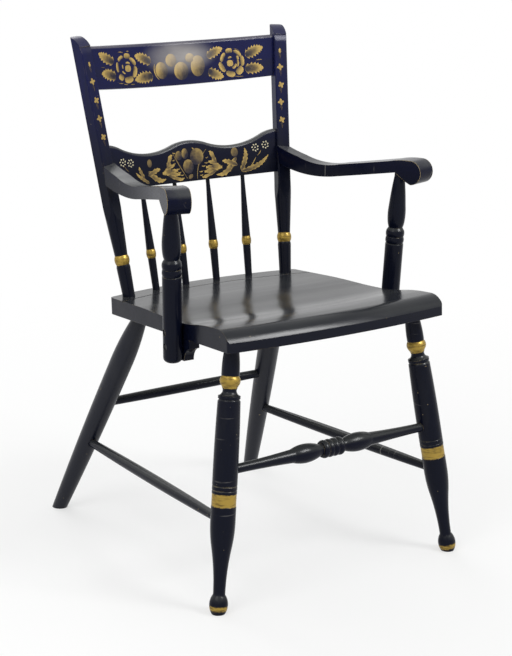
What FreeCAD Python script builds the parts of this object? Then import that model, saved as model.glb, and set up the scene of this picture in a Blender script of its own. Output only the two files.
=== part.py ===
import FreeCAD, Part
import math
import os
import Sketcher
from FreeCAD import Placement, Rotation, Vector

# Painted wooden armchair with a plank seat, turned legs and a bent, stencilled back.
# X is to the viewer's right, Y to the back, Z up. The floor is Z = 0 and the origin
# is the middle of the floor under the chair. Left is the viewer's left, at minus X.

# Driving dimensions in millimetres, each one cell of the document's sheet
SIZES = {
    # leg axes: how far inside the seat's plan they meet its underside, and their splay
    "front_leg_side_inset": 33.5,
    "front_leg_setback": 40.0,
    "front_leg_splay": 56.0,
    "rear_leg_side_inset": 50.75,
    "rear_leg_inset": 21.0,
    "rear_leg_splay": 69.0,
    "rear_leg_rake": 183.0,
    # plank seat: plan, height and section
    "seat_front_height": 444.0,
    "seat_setback": 5.0,
    "seat_rear_drop": 22.0,
    "seat_front_width": 421.0,
    "seat_taper": 21.0,
    "seat_depth": 384.0,
    "seat_front_bow": 15.0,
    "seat_rear_bow": 27.0,
    "seat_crown_thickness": 33.0,
    "seat_scoop_thickness": 24.5,
    "seat_deck_thickness": 28.0,
    "seat_edge_face": 15.0,
    "seat_roll_reach": 28.0,
    "seat_crown_station": 42.0,
    "seat_scoop_station": 150.0,
    "seat_deck_station": 290.0,
    "seat_groove_inset": 43.0,
    "seat_groove_width": 2.4,
    "seat_groove_depth": 1.4,
    "seat_front_corner_radius": 5.0,
    "seat_rear_corner_radius": 9.0,
    # front legs, diameters from the foot up
    "front_foot_pad_diameter": 17.0,
    "front_ball_diameter": 29.5,
    "front_ankle_diameter": 19.2,
    "front_shaft_diameter": 39.2,
    "front_shaft_top_diameter": 35.4,
    "front_score_depth": 0.9,
    "front_collar_diameter": 34.8,
    "front_neck_diameter": 21.8,
    "front_bead_diameter": 32.2,
    "front_swell_diameter": 28.2,
    "front_tenon_diameter": 24.0,
    "leg_tenon_length": 16.0,
    "leg_tenon_lead": 8.0,
    # rear legs
    "rear_foot_diameter": 24.8,
    "rear_leg_diameter": 38.5,
    "rear_tenon_diameter": 22.0,
    # stretchers, each a round tenon at both ends
    "front_stretcher_height": 219.0,
    "side_stretcher_front_height": 142.4,
    "side_stretcher_rear_height": 137.7,
    "rear_stretcher_height": 213.7,
    "stretcher_overreach": 3.0,
    "stretcher_straight_end": 27.0,
    "front_stretcher_end_diameter": 15.0,
    "front_stretcher_bulb_diameter": 30.0,
    "front_stretcher_ring_diameter": 29.6,
    "front_stretcher_score_depth": 2.2,
    "front_stretcher_neck_diameter": 20.0,
    "front_stretcher_bulb_offset": 44.0,
    "front_stretcher_neck_offset": 23.5,
    "front_stretcher_ring_offset": 20.0,
    "side_stretcher_end_diameter": 14.2,
    "side_stretcher_middle_diameter": 18.2,
    "rear_stretcher_end_diameter": 15.0,
    "rear_stretcher_middle_diameter": 17.0,
    # back posts
    "post_side_inset": 28.5,
    "post_inset": 21.0,
    "post_flare": 38.7,
    "post_rake": 82.0,
    "post_rise": 428.0,
    "post_tenon_length": 16.0,
    "post_foot_diameter": 21.0,
    "post_below_bead_diameter": 23.4,
    "post_bead_diameter": 25.4,
    "post_bead_height": 62.0,
    "post_bead_length": 15.0,
    "post_waist_diameter": 21.6,
    "post_blank_diameter": 30.0,
    "post_shoulder_height": 150.0,
    "post_width": 23.4,
    "post_depth": 25.8,
    "post_cap_height": 20.0,
    "post_cap_step": 1.6,
    "post_cap_roll": 34.0,
    # bent crest rail and lower splat
    "back_curve_radius": 812.0,
    "rail_setback": 3.5,
    "rail_thickness": 15.0,
    "rail_edge_radius": 6.5,
    "rail_tenon_thickness": 8.0,
    "rail_tenon_length": 13.0,
    "rail_tenon_shoulder": 7.0,
    "crest_height": 70.2,
    "crest_sag": 4.0,
    "splat_height_up": 178.0,
    "splat_height": 75.5,
    # spindles
    "spindle_inset": 15.0,
    "spindle_foot_diameter": 12.2,
    "spindle_below_bead_diameter": 13.6,
    "spindle_bead_diameter": 16.8,
    "spindle_above_bead_diameter": 14.8,
    "spindle_bead_height": 62.0,
    "spindle_bead_length": 13.0,
    "spindle_top_diameter": 7.0,
    "spindle_foot_tenon": 18.0,
    "spindle_top_tenon": 12.0,
    # arm posts, screwed to the outside of the seat
    "arm_overhang": 14.0,
    "arm_height": 626.0,
    "arm_post_top_setback": 141.0,
    "arm_post_station": 145.4,
    "arm_post_diameter": 30.6,
    "arm_post_ring_depth": 1.6,
    "arm_post_neck_diameter": 23.6,
    "arm_post_bulb_diameter": 30.0,
    "arm_post_top_diameter": 17.2,
    "arm_post_flat": 1.0,
    "arm_post_drop": 37.5,
    "arm_post_end_radius": 8.0,
    "arm_post_tenon": 12.0,
    # arms
    "arm_nose_reach": 32.0,
    "arm_nose_height": 40.0,
    "arm_nose_rise": 3.0,
    "arm_toe_out": 15.6,
    "arm_rear_overrun": 26.0,
    "arm_nose_width": 38.0,
    "arm_rear_width": 24.0,
    "arm_joint_height": 213.0,
    "arm_tenon_diameter": 12.0,
    "arm_tenon_length": 7.0,
    # cleats under the seat that take the lower screws
    "cleat_length": 55.0,
    "cleat_width": 17.5,
    "cleat_height": 36.0,
    "cleat_lip": 14.0,
    "cleat_stem_length": 17.0,
    # screws
    "screw_head_diameter": 9.6,
    "screw_head_height": 2.6,
    "screw_slot_width": 1.4,
    "screw_slot_depth": 1.1,
    "screw_shank_diameter": 4.0,
    "arm_screw_length": 42.0,
    "arm_screw_sink": 1.8,
    "upper_screw_rise": 12.0,
    "lower_screw_drop": 10.5,
    "cleat_screw_length": 26.0,
    "cleat_screw_spread": 38.0,
    # clearances and cutting overrun
    "glue_gap": 0.1,
    "socket_end_gap": 0.6,
    "screw_gap": 0.15,
    "overrun": 5.0,
    "trim_reach": 120.0,
}

doc = FreeCAD.newDocument("armchair")
sheet = doc.addObject("Spreadsheet::Sheet", "Sizes")


class Size(float):
    """A length that also keeps the sheet expression it comes from."""

    def __new__(cls, value, text):
        size = super().__new__(cls, value)
        size.text = text
        return size

    def __add__(self, other):
        return Size(float(self) + float(other), f"({self.text} + {text_of(other)})")

    def __radd__(self, other):
        return Size(float(other) + float(self), f"({text_of(other)} + {self.text})")

    def __sub__(self, other):
        return Size(float(self) - float(other), f"({self.text} - {text_of(other)})")

    def __rsub__(self, other):
        return Size(float(other) - float(self), f"({text_of(other)} - {self.text})")

    def __mul__(self, other):
        return Size(float(self) * float(other), f"{self.text} * {text_of(other)}")

    def __rmul__(self, other):
        return self * other

    def __truediv__(self, other):
        return Size(float(self) / float(other), f"{self.text} / {text_of(other)}")

    def __neg__(self):
        return Size(-float(self), f"(0 - {self.text})")


def text_of(value):
    """The sheet expression of a size, or the digits of a plain number."""
    if isinstance(value, Size):
        return f"({value.text})"
    return repr(float(value))


def root(size):
    """The square root of a size, still bound to the sheet."""
    return Size(math.sqrt(size), f"sqrt({size.text})")


class Sizes:
    """The sheet's cells by name."""


s = Sizes()
for row, (alias, number) in enumerate(SIZES.items(), start=1):
    sheet.set(f"A{row}", alias)
    sheet.set(f"B{row}", str(number))
    sheet.setAlias(f"B{row}", alias)
    setattr(s, alias, Size(number, f"Sizes.{alias}"))
doc.recompute()

UP = Vector(0, 0, 1)
SIDES = {"left": -1, "right": 1}


# Sketches: closed outlines whose corners are bound to the sheet
def plane_of(body, role):
    """One of a body's own origin planes."""
    return next(plane for plane in body.Origin.OriginFeatures if plane.Role == role)


def new_sketch(body, role, label):
    """An empty sketch on one of the body's own origin planes."""
    sketch = body.newObject("Sketcher::SketchObject", label)
    sketch.AttachmentSupport = [(plane_of(body, role), "")]
    sketch.MapMode = "FlatFace"
    return sketch


def arc_between(start, via, end):
    """The arc from start through via to end, and which of its ends is the start."""
    circle = Part.Circle(start, via, end)
    centre = circle.Center
    angles = [math.atan2(p.y - centre.y, p.x - centre.x) for p in (start, via, end)]
    turn = math.tau
    forwards = (angles[1] - angles[0]) % turn < (angles[2] - angles[0]) % turn
    first, last = (angles[0], angles[2]) if forwards else (angles[2], angles[0])
    curve = Part.ArcOfCircle(Part.Circle(centre, UP, circle.Radius), first, last)
    return curve, (1 if forwards else 2)


def outline(sketch, path):
    """Draws a closed outline. Each step is a corner (x, y) reached by a straight run,
    or (x, y, via_x, via_y) reached by an arc through the second point."""
    constraints = []
    bindings = []

    def pin(vertex, x, y):
        for kind, axis, value in (("DistanceX", -2, x), ("DistanceY", -1, y)):
            if float(value) == 0:
                constraints.append(Sketcher.Constraint("PointOnObject", *vertex, axis))
                continue
            ends = (-1, 1, *vertex) if value > 0 else (*vertex, -1, 1)
            bindings.append((len(constraints), value if value > 0 else -value))
            constraints.append(Sketcher.Constraint(kind, *ends, abs(float(value))))

    runs = []
    for place, step in enumerate(path):
        corner = path[place - 1][:2]
        start, end = Vector(*corner, 0), Vector(*step[:2], 0)
        if len(step) == 2:
            runs.append((sketch.addGeometry(Part.LineSegment(start, end)), 1, 2))
        else:
            via = Vector(*step[2:], 0)
            curve, first = arc_between(start, via, end)
            number = sketch.addGeometry(curve)
            runs.append((number, first, 3 - first))
            point = sketch.addGeometry(Part.Point(via), True)
            pin((point, 1), *step[2:])
            constraints.append(Sketcher.Constraint("PointOnObject", point, 1, number))
        pin((runs[-1][0], runs[-1][1]), *corner)
    for place, run in enumerate(runs):
        before = runs[place - 1]
        constraints.append(Sketcher.Constraint("Coincident", before[0], before[2], run[0], run[1]))
    offset = sketch.ConstraintCount
    sketch.addConstraint(constraints)
    for index, value in bindings:
        if isinstance(value, Size):
            sketch.setExpression(f"Constraints[{offset + index}]", value.text)


# Features and booleans, with every size that is given as a Size bound to the sheet
def bind(item, **settings):
    for name, value in settings.items():
        setattr(item, name, float(value) if isinstance(value, Size) else value)
        if isinstance(value, Size):
            item.setExpression(name, value.text)
    return item


def feature(body, kind, sketch, **settings):
    """A PartDesign feature made from a sketch of the same body."""
    made = body.newObject(f"PartDesign::{kind}", f"{sketch.Label}_{kind.lower()}")
    made.Profile = sketch
    return bind(made, **settings)


def turned(label, path):
    """A piece turned about its own Z axis, from half its outline."""
    body = doc.addObject("PartDesign::Body", label)
    sketch = new_sketch(body, "XZ_Plane", f"{label}_outline")
    outline(sketch, path)
    feature(body, "Revolution", sketch, ReferenceAxis=(sketch, ["V_Axis"]), Angle=360.0)
    return body


def half_outline(stations):
    """A half outline from (height, diameter) stations, or (height, diameter,
    via_height, via_diameter) where the run to the station is an arc."""
    path = [(0, stations[0][0])]
    for height, diameter, *via in stations:
        step = (diameter / 2, height)
        path.append(step + (via[1] / 2, via[0]) if via else step)
    path.append((0, stations[-1][0]))
    return path


def rod(label, diameter, length, place):
    """A round bar or drill with its foot at the placement's origin, along its Z."""
    made = doc.addObject("Part::Cylinder", label)
    bind(made, Radius=diameter / 2, Height=length)
    made.Placement = place
    return made


def bar(label, length, width, height, place):
    """A rectangular block from the placement's origin along its X, Y and Z."""
    made = doc.addObject("Part::Box", label)
    bind(made, Length=length, Width=width, Height=height)
    made.Placement = place
    return made


def cut(label, base, *tools):
    """The base with the tools' shapes taken away."""
    group = doc.addObject("Part::Compound", f"{label}_tools")
    group.Links = list(tools)
    made = doc.addObject("Part::Cut", label)
    made.Base = base
    made.Tool = group
    return made


def fuse(label, *shapes):
    made = doc.addObject("Part::MultiFuse", label)
    made.Shapes = list(shapes)
    return made


def facing(origin, z_axis, y_axis=Vector(0, 1, 0)):
    """A placement with its Z along z_axis and its Y as near as it can be to y_axis."""
    return Placement(origin, Rotation(Vector(), y_axis, z_axis, "ZYX"))


def shifted(place, x, y, z):
    return place.multiply(Placement(Vector(x, y, z), Rotation()))


pieces = {}


def keep(label, item):
    """Files an object as a finished sub-part under its own label."""
    item.Label = label
    pieces[label] = item


# The seat plank's frame lies on its underside, at the middle of the front corners
rear_leg_setback = s.seat_depth - s.rear_leg_inset
foot_depth = s.seat_setback + rear_leg_setback + s.rear_leg_rake
rear_leg_rise = s.seat_front_height - s.seat_crown_thickness - s.seat_rear_drop
rear_leg_lean = math.atan2(s.rear_leg_rake, rear_leg_rise)
rear_foot_reach = s.rear_foot_diameter / 2 / math.cos(rear_leg_lean)
front_foot_reach = s.front_ball_diameter / 2
front_foot_y = -(foot_depth + rear_foot_reach - front_foot_reach) / 2
rear_foot_y = front_foot_y + foot_depth
seat_pitch = math.atan2(s.seat_rear_drop, s.seat_depth)
seat_frame = Placement(
    Vector(0, front_foot_y + s.seat_setback, s.seat_front_height - s.seat_crown_thickness),
    Rotation(Vector(1, 0, 0), -math.degrees(seat_pitch)),
)
seat_normal = seat_frame.Rotation.multVec(UP)
seat_rear_width = s.seat_front_width - s.seat_taper * 2
seat_front_radius = ((s.seat_front_width / 2) * (s.seat_front_width / 2) / s.seat_front_bow
                     + s.seat_front_bow) / 2
seat_rear_radius = ((seat_rear_width / 2) * (seat_rear_width / 2) / s.seat_rear_bow
                    + s.seat_rear_bow) / 2
rear_arc_centre = s.seat_depth + s.seat_rear_bow - seat_rear_radius


def seat_half_width(station):
    """Half the seat's width at a distance behind its front corners."""
    return s.seat_front_width / 2 - s.seat_taper * (float(station) / float(s.seat_depth))


def behind(x, inset):
    """How far back the deck point lies that is an inset in front of the rear edge."""
    reach = float(seat_rear_radius - inset)
    return float(rear_arc_centre) + math.sqrt(reach * reach - float(x) * float(x))


# Leg axes, from the floor to the seat's underside
def leg_axis(side, end):
    """Where a leg's axis meets the floor and the seat's underside."""
    if end == "front":
        half_spread = s.seat_front_width / 2 - s.front_leg_side_inset
        foot = Vector(side * (half_spread + s.front_leg_splay), front_foot_y, 0)
        top = Vector(side * half_spread, s.front_leg_setback, 0)
    else:
        half_spread = seat_rear_width / 2 - s.rear_leg_side_inset
        foot = Vector(side * (half_spread + s.rear_leg_splay), rear_foot_y, 0)
        top = Vector(side * half_spread, rear_leg_setback, 0)
    return foot, seat_frame.multVec(top)


def at_height(axis, height):
    """The point of a leg's axis at a height above the floor."""
    foot, top = axis
    return foot + (top - foot) * (float(height) / top.z)


axes = {(end, side): leg_axis(side, end) for end in ("front", "rear") for side in (-1, 1)}


def leg_length(end):
    foot, top = axes[end, 1]
    return (top - foot).Length


# Stretcher lines between the leg axes, each overreaching the axes inside its sockets
def stretcher_line(start, end):
    """The two ends of a stretcher whose axis joins two points of the leg axes."""
    along = (end - start).normalize()
    reach = float(s.stretcher_overreach)
    return start - along * reach, end + along * reach


stretcher_lines = {
    "front_stretcher": stretcher_line(
        at_height(axes["front", -1], s.front_stretcher_height),
        at_height(axes["front", 1], s.front_stretcher_height),
    ),
    "rear_stretcher": stretcher_line(
        at_height(axes["rear", -1], s.rear_stretcher_height),
        at_height(axes["rear", 1], s.rear_stretcher_height),
    ),
}
for name, side in SIDES.items():
    stretcher_lines[f"side_stretcher_{name}"] = stretcher_line(
        at_height(axes["front", side], s.side_stretcher_front_height),
        at_height(axes["rear", side], s.side_stretcher_rear_height),
    )
stretcher_end_diameters = {
    "front_stretcher": s.front_stretcher_end_diameter,
    "rear_stretcher": s.rear_stretcher_end_diameter,
    "side_stretcher_left": s.side_stretcher_end_diameter,
    "side_stretcher_right": s.side_stretcher_end_diameter,
}


def stretcher_socket(label, stretcher, at_far_end):
    """The drill for one end of a stretcher, from its tip outwards past the leg's skin."""
    start, end = stretcher_lines[stretcher]
    tip, other = (end, start) if at_far_end else (start, end)
    inwards = (other - tip).normalize()
    foot = tip - inwards * float(s.socket_end_gap)
    length = s.front_shaft_diameter + s.stretcher_overreach
    diameter = stretcher_end_diameters[stretcher] + s.glue_gap * 2
    return rod(label, diameter, length, facing(foot, inwards, UP))


# Legs: turned blanks, levelled at the floor and bored for the stretchers
front_leg_shares = (
    # share of the leg's length and diameter, and the same of a point an arc passes through
    (-0.008, s.front_foot_pad_diameter),
    (0.072, s.front_ankle_diameter, 0.034, s.front_ball_diameter),
    (0.084, s.front_ankle_diameter),
    (0.245, s.front_shaft_diameter * 0.8, 0.165, s.front_shaft_diameter * 0.575),
    (0.349, s.front_shaft_diameter, 0.297, s.front_shaft_diameter * 0.952),
    (0.405, s.front_shaft_diameter),
    (0.406, s.front_shaft_diameter - s.front_score_depth),
    (0.453, s.front_shaft_diameter - s.front_score_depth),
    (0.454, s.front_shaft_diameter),
    (0.463, s.front_shaft_diameter),
    (0.4655, s.front_shaft_diameter - s.front_score_depth * 2),
    (0.468, s.front_shaft_diameter),
    (0.480, s.front_shaft_diameter),
    (0.4825, s.front_shaft_diameter - s.front_score_depth * 2),
    (0.485, s.front_shaft_diameter),
    (0.510, s.front_shaft_diameter),
    (0.798, s.front_shaft_top_diameter, 0.66, s.front_shaft_diameter * 0.982),
    (0.8045, s.front_shaft_top_diameter - s.front_score_depth * 4),
    (0.808, s.front_collar_diameter),
    (0.818, s.front_collar_diameter),
    (0.841, s.front_neck_diameter, 0.825, s.front_collar_diameter * 0.74),
    (0.8445, s.front_neck_diameter * 1.06),
    (0.856, s.front_bead_diameter * 0.84, 0.848, s.front_bead_diameter * 0.74),
    (0.890, s.front_bead_diameter * 0.86, 0.873, s.front_bead_diameter),
    (0.897, s.front_swell_diameter),
)
rear_leg_shares = (
    (-0.05, s.rear_foot_diameter * 0.93),
    (0.72, s.rear_leg_diameter, 0.33, s.rear_leg_diameter * 0.88),
)


def station_path(length, shares):
    """Stations along a length, from a table of shares of it."""
    stations = []
    for share, diameter, *via in shares:
        station = (length * share, diameter)
        stations.append(station + (length * via[0], via[1]) if via else station)
    return stations


def leg(label, end, side, shares, tenon_diameter, bored_for):
    """A turned leg standing on its axis, cut level at the floor."""
    foot, top = axes[end, side]
    length = leg_length(end)
    lead = length - float(s.leg_tenon_lead)
    middle = (lead + length * shares[-1][0]) / 2
    swell = (shares[-1][1] * 5 + tenon_diameter) / 6
    stations = station_path(length, shares)
    stations.append((lead, tenon_diameter, middle, swell))
    stations.append((s.leg_tenon_length + length, tenon_diameter))
    blank = turned(f"{label}_blank", half_outline(stations))
    blank.Placement = facing(foot, top - foot)
    reach = float(s.trim_reach)
    corner = Vector(foot.x - reach / 2, foot.y - reach / 2, -reach)
    floor = bar(f"{label}_floor", s.trim_reach, s.trim_reach, s.trim_reach,
                Placement(corner, Rotation()))
    drills = [
        stretcher_socket(f"{label}_{stretcher}_socket", stretcher, far_end)
        for stretcher, far_end in bored_for
    ]
    keep(label, cut(label, blank, floor, *drills))


for name, side in SIDES.items():
    leg(f"front_leg_{name}", "front", side, front_leg_shares, s.front_tenon_diameter,
        [("front_stretcher", side > 0), (f"side_stretcher_{name}", False)])
    leg(f"rear_leg_{name}", "rear", side, rear_leg_shares, s.rear_tenon_diameter,
        [("rear_stretcher", side > 0), (f"side_stretcher_{name}", True)])

# Stretchers: plain ones swell towards the middle, the front one is turned
def plain_stretcher(label, middle_diameter):
    start, end = stretcher_lines[label]
    length = (end - start).Length
    tip = stretcher_end_diameters[label]
    straight = s.stretcher_straight_end
    piece = turned(label, half_outline([
        (0, tip),
        (straight, tip),
        (length - straight, tip, length / 2, middle_diameter),
        (length, tip),
    ]))
    piece.Placement = facing(start, end - start, UP)
    keep(label, piece)


def mirrored(half, length):
    """The stations of a whole turning from those of its first half."""
    stations = list(half)
    for place in range(len(half) - 1, -1, -1):
        height, diameter, *_ = half[place]
        via = half[place + 1][2:] if place + 1 < len(half) else ()
        station = (length - height, diameter)
        stations.append(station + (length - via[0], via[1]) if via else station)
    return stations


plain_stretcher("rear_stretcher", s.rear_stretcher_middle_diameter)
for name in SIDES:
    plain_stretcher(f"side_stretcher_{name}", s.side_stretcher_middle_diameter)

start, end = stretcher_lines["front_stretcher"]
length = (end - start).Length
centre = length / 2
ring = s.front_stretcher_ring_offset
groove = s.front_stretcher_score_depth
ring_low = s.front_stretcher_ring_diameter - groove * 2
half = [
    (0, s.front_stretcher_end_diameter),
    (s.stretcher_straight_end, s.front_stretcher_end_diameter),
    (centre - s.front_stretcher_bulb_offset * 1.75, s.front_stretcher_bulb_diameter * 0.74,
     centre - s.front_stretcher_bulb_offset * 2.9, s.front_stretcher_end_diameter * 1.14),
    (centre - s.front_stretcher_neck_offset * 1.22, s.front_stretcher_neck_diameter * 1.14,
     centre - s.front_stretcher_bulb_offset, s.front_stretcher_bulb_diameter),
    (centre - s.front_stretcher_neck_offset, s.front_stretcher_neck_diameter),
    (centre - ring, s.front_stretcher_neck_diameter),
    (centre - ring, ring_low),
    (centre - ring / 2, ring_low, centre - ring * 0.75, s.front_stretcher_ring_diameter),
    (centre, ring_low, centre - ring * 0.25, s.front_stretcher_ring_diameter),
]
stations = mirrored(half, length)
stations.pop(len(half))
front_stretcher = turned("front_stretcher", half_outline(stations))
front_stretcher.Placement = facing(start, end - start, UP)
keep("front_stretcher", front_stretcher)

# Back posts: where each foot stands on the deck and how its frame is turned
post_spread = seat_rear_width - s.post_side_inset * 2
post_heel = behind(post_spread / 2, s.post_inset)
post_length = root(s.post_flare * s.post_flare + s.post_rake * s.post_rake
                   + s.post_rise * s.post_rise)
crest_height_up = post_length - s.post_cap_height - s.crest_height


def post_frame(side):
    """A post's frame: foot on the deck, Z up its axis, Y square to the bent rails."""
    foot = seat_frame.multVec(Vector(side * post_spread / 2, post_heel, s.seat_deck_thickness))
    axis = Vector(side * s.post_flare, s.post_rake, s.post_rise)
    middle = s.splat_height_up + (crest_height_up + s.crest_height - s.splat_height_up) / 2
    turn = rail_half_chord(middle) / float(s.back_curve_radius)
    back = Vector(side * turn, math.sqrt(1 - turn * turn), 0)
    return facing(foot, axis, back)


def rail_half_chord(height_up):
    """Half the distance between the post axes at a height up the back."""
    return float(post_spread) / 2 + float(s.post_flare) * float(height_up) / float(post_length)


post_frames = {side: post_frame(side) for side in SIDES.values()}
back_frame = facing(
    seat_frame.multVec(Vector(0, post_heel, s.seat_deck_thickness)),
    Vector(0, s.post_rake, s.post_rise),
)


def rail_centre(height_up, height):
    """How far the centre of a rail's curve lies in front of the back's frame."""
    chord = rail_half_chord(height_up + height / 2)
    radius = float(s.back_curve_radius)
    return float(s.rail_setback) - math.sqrt(radius * radius - chord * chord)


def on_rail(x, centre):
    """How far back the middle of a rail lies at a distance from the chair's middle."""
    radius = float(s.back_curve_radius)
    return centre + math.sqrt(radius * radius - float(x) * float(x))


def side_box(label, place, side, start, length, low, width, bottom, height):
    """A box in a post's frame, its X measured outwards from the chair's middle."""
    first = float(start) if side > 0 else -float(start) - float(length)
    return bar(label, length, width, height, shifted(place, first, low, bottom))


# Rails: a bent band shaped in front view, ended at the posts and given box tenons
def bent_board(label, height_up, height, sag):
    """The bent board of a rail before its ends are cut, and how far in front of the
    back's frame the centre of its curve lies."""
    centre = rail_centre(height_up, height)
    inner = s.back_curve_radius - s.rail_thickness / 2
    outer = s.back_curve_radius + s.rail_thickness / 2
    reach = post_spread / 2 + s.post_flare + s.post_width
    inner_y = root(inner * inner - reach * reach)
    outer_y = root(outer * outer - reach * reach)
    body = doc.addObject("PartDesign::Body", f"{label}_board")
    body.Placement = shifted(back_frame, 0, centre, height_up)
    bend = new_sketch(body, "XY_Plane", f"{label}_bend")
    outline(bend, [
        (-reach, inner_y),
        (reach, inner_y, 0, inner),
        (reach, outer_y),
        (-reach, outer_y, 0, outer),
    ])
    if sag:
        feature(body, "Pad", bend, SideType="Two sides", Length=height, Length2=sag)
    else:
        feature(body, "Pad", bend, Length=height)
    return body, centre


def shape_edge(body, label, path):
    """Cuts away from a bent board what lies inside an outline in front view."""
    sketch = new_sketch(body, "XZ_Plane", label)
    outline(sketch, path)
    return feature(body, "Pocket", sketch, Length=s.back_curve_radius + s.rail_thickness)


def seat_rail(label, body, tenon_foot, tenon_height):
    """Ends a board at the posts' inner faces and adds the box tenons."""
    trims = []
    tenons = []
    inset = s.post_width / 2
    for name, side in SIDES.items():
        trims.append(side_box(f"{label}_trim_{name}", post_frames[side], side, -inset,
                              s.trim_reach, -s.trim_reach / 2, s.trim_reach,
                              0, s.post_rise + s.trim_reach))
        tenons.append(side_box(f"{label}_tenon_{name}", post_frames[side], side,
                               -inset - s.rail_thickness / 3,
                               s.rail_tenon_length + s.rail_thickness / 3,
                               s.rail_setback - s.rail_tenon_thickness / 2,
                               s.rail_tenon_thickness, tenon_foot, tenon_height))
    board = cut(f"{label}_trimmed", body, *trims)
    return fuse(label, board, *tenons)


def mortise(label, side, tenon_foot, tenon_height):
    """The pocket in a post for a rail's tenon, with its clearance."""
    gap = s.glue_gap
    inset = s.post_width / 2
    return side_box(label, post_frames[side], side, -inset - s.overrun,
                    s.rail_tenon_length + s.socket_end_gap + s.overrun,
                    s.rail_setback - s.rail_tenon_thickness / 2 - gap,
                    s.rail_tenon_thickness + gap * 2, tenon_foot - gap, tenon_height + gap * 2)


crest_tenon = (crest_height_up + s.rail_tenon_shoulder,
               s.crest_height - s.rail_tenon_shoulder * 2)
splat_tenon = (s.splat_height_up + s.rail_tenon_shoulder,
               s.splat_height - s.rail_tenon_shoulder * 2)
half_board = post_spread / 2 + s.post_flare + s.post_width + s.overrun

crest_board, crest_centre = bent_board("crest_rail", crest_height_up, s.crest_height,
                                       s.crest_sag)
shape_edge(crest_board, "crest_rail_lower_edge", [
    (-half_board, 0, 0, -s.crest_sag),
    (-half_board, -s.crest_sag - s.overrun),
    (half_board, -s.crest_sag - s.overrun),
    (half_board, 0),
])

splat_board, splat_centre = bent_board("back_splat", s.splat_height_up, s.splat_height, 0)
# the splat's ogee top as shares of half its width and of its height
splat_half_width = post_spread / 2 + s.post_width / 2
splat_top_shares = (
    ((1.0, 1.0), (0.9186, 0.980), (0.832, 0.911)),
    ((0.832, 0.911), (0.488, 0.730), (0.213, 0.843)),
)
splat_crown_share = 0.932


def splat_point(share):
    return splat_half_width * share[0], s.splat_height * share[1]


top_path = [(half_board, s.splat_height)]
for first, via, last in splat_top_shares:
    if not top_path[1:]:
        top_path.append(splat_point(first))
    top_path.append(splat_point(last) + splat_point(via))
waist = top_path[-1]
top_path.append((-waist[0], waist[1], 0, s.splat_height * splat_crown_share))
for first, via, last in reversed(splat_top_shares):
    (first_x, first_z), (via_x, via_z) = splat_point(first), splat_point(via)
    top_path.append((-first_x, first_z, -via_x, via_z))
top_path += [
    (-half_board, s.splat_height),
    (-half_board, s.splat_height + s.overrun),
    (half_board, s.splat_height + s.overrun),
]
shape_edge(splat_board, "back_splat_top", top_path)


def round_edges(body, radius, wanted, label):
    """Rounds the edges of a body's last feature that the test picks out."""
    doc.recompute()
    base = body.Tip
    names = [
        f"Edge{number}" for number, edge in enumerate(base.Shape.Edges, start=1) if wanted(edge)
    ]
    made = body.newObject("PartDesign::Fillet", label)
    made.Base = (base, names)
    bind(made, Radius=radius)
    return made


def level_at(edge, height):
    """Whether an edge lies all at one height."""
    box = edge.BoundBox
    return abs(box.ZMin - height) < 0.01 and abs(box.ZMax - height) < 0.01


def on_ogee(edge):
    """Whether an edge runs along the splat's top and not through its thickness."""
    box = edge.BoundBox
    return box.ZMax > s.splat_height / 2 and box.XLength > s.rail_thickness


round_edges(crest_board, s.rail_edge_radius,
            lambda edge: level_at(edge, float(s.crest_height)) and edge.Length > post_spread,
            "crest_rail_rounding")
round_edges(splat_board, s.rail_edge_radius, on_ogee, "back_splat_rounding")

# Spindles: where each foot and top stands, their sockets, and the turning
# places between the posts as shares of half their distance, at the seat and at the splat
spindle_shares = (
    (-0.593, -0.583),
    (-0.196, -0.192),
    (0.196, 0.192),
    (0.593, 0.583),
)
seat_drills = []
splat_drills = []
for number, (foot_share, top_share) in enumerate(spindle_shares, start=1):
    label = f"spindle_{number}"
    foot_x = rail_half_chord(0) * foot_share
    top_x = rail_half_chord(s.splat_height_up) * top_share
    foot = seat_frame.multVec(
        Vector(foot_x, behind(foot_x, s.spindle_inset), s.seat_deck_thickness))
    top = back_frame.multVec(Vector(top_x, on_rail(top_x, splat_centre), s.splat_height_up))
    length = (top - foot).Length
    place = facing(foot, top - foot)
    bead, half_bead = s.spindle_bead_height, s.spindle_bead_length / 2
    piece = turned(label, half_outline([
        (-s.spindle_foot_tenon, s.spindle_foot_diameter),
        (s.spindle_bead_length / 4, s.spindle_foot_diameter),
        (bead - half_bead, s.spindle_below_bead_diameter),
        (bead - half_bead, s.spindle_bead_diameter * 0.88),
        (bead + half_bead, s.spindle_bead_diameter * 0.88, bead, s.spindle_bead_diameter),
        (bead + half_bead, s.spindle_above_bead_diameter),
        (length - float(s.leg_tenon_lead), s.spindle_top_diameter),
        (s.spindle_top_tenon + length, s.spindle_top_diameter),
    ]))
    piece.Placement = place
    keep(label, piece)
    seat_drills.append(rod(
        f"{label}_foot_socket", s.spindle_foot_diameter + s.glue_gap * 2,
        s.spindle_foot_tenon + s.socket_end_gap + s.overrun,
        shifted(place, 0, 0, -s.spindle_foot_tenon - s.socket_end_gap)))
    splat_drills.append(rod(
        f"{label}_top_socket", s.spindle_top_diameter + s.glue_gap * 2,
        s.spindle_top_tenon + s.socket_end_gap + s.overrun,
        shifted(place, 0, 0, length - s.overrun)))

keep("crest_rail", seat_rail("crest_rail_joined", crest_board, *crest_tenon))
splat_blank = seat_rail("back_splat_joined", splat_board, *splat_tenon)
keep("back_splat", cut("back_splat_bored", splat_blank, *splat_drills))

# Arms: side outline and plan outline pushed through each other
arm_top_x = s.seat_front_width / 2 + s.arm_overhang
arm_top_y = front_foot_y + s.arm_post_top_setback
post_face = s.post_depth / 2 - s.post_cap_step
arm_nose = s.arm_nose_height / 2


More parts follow.
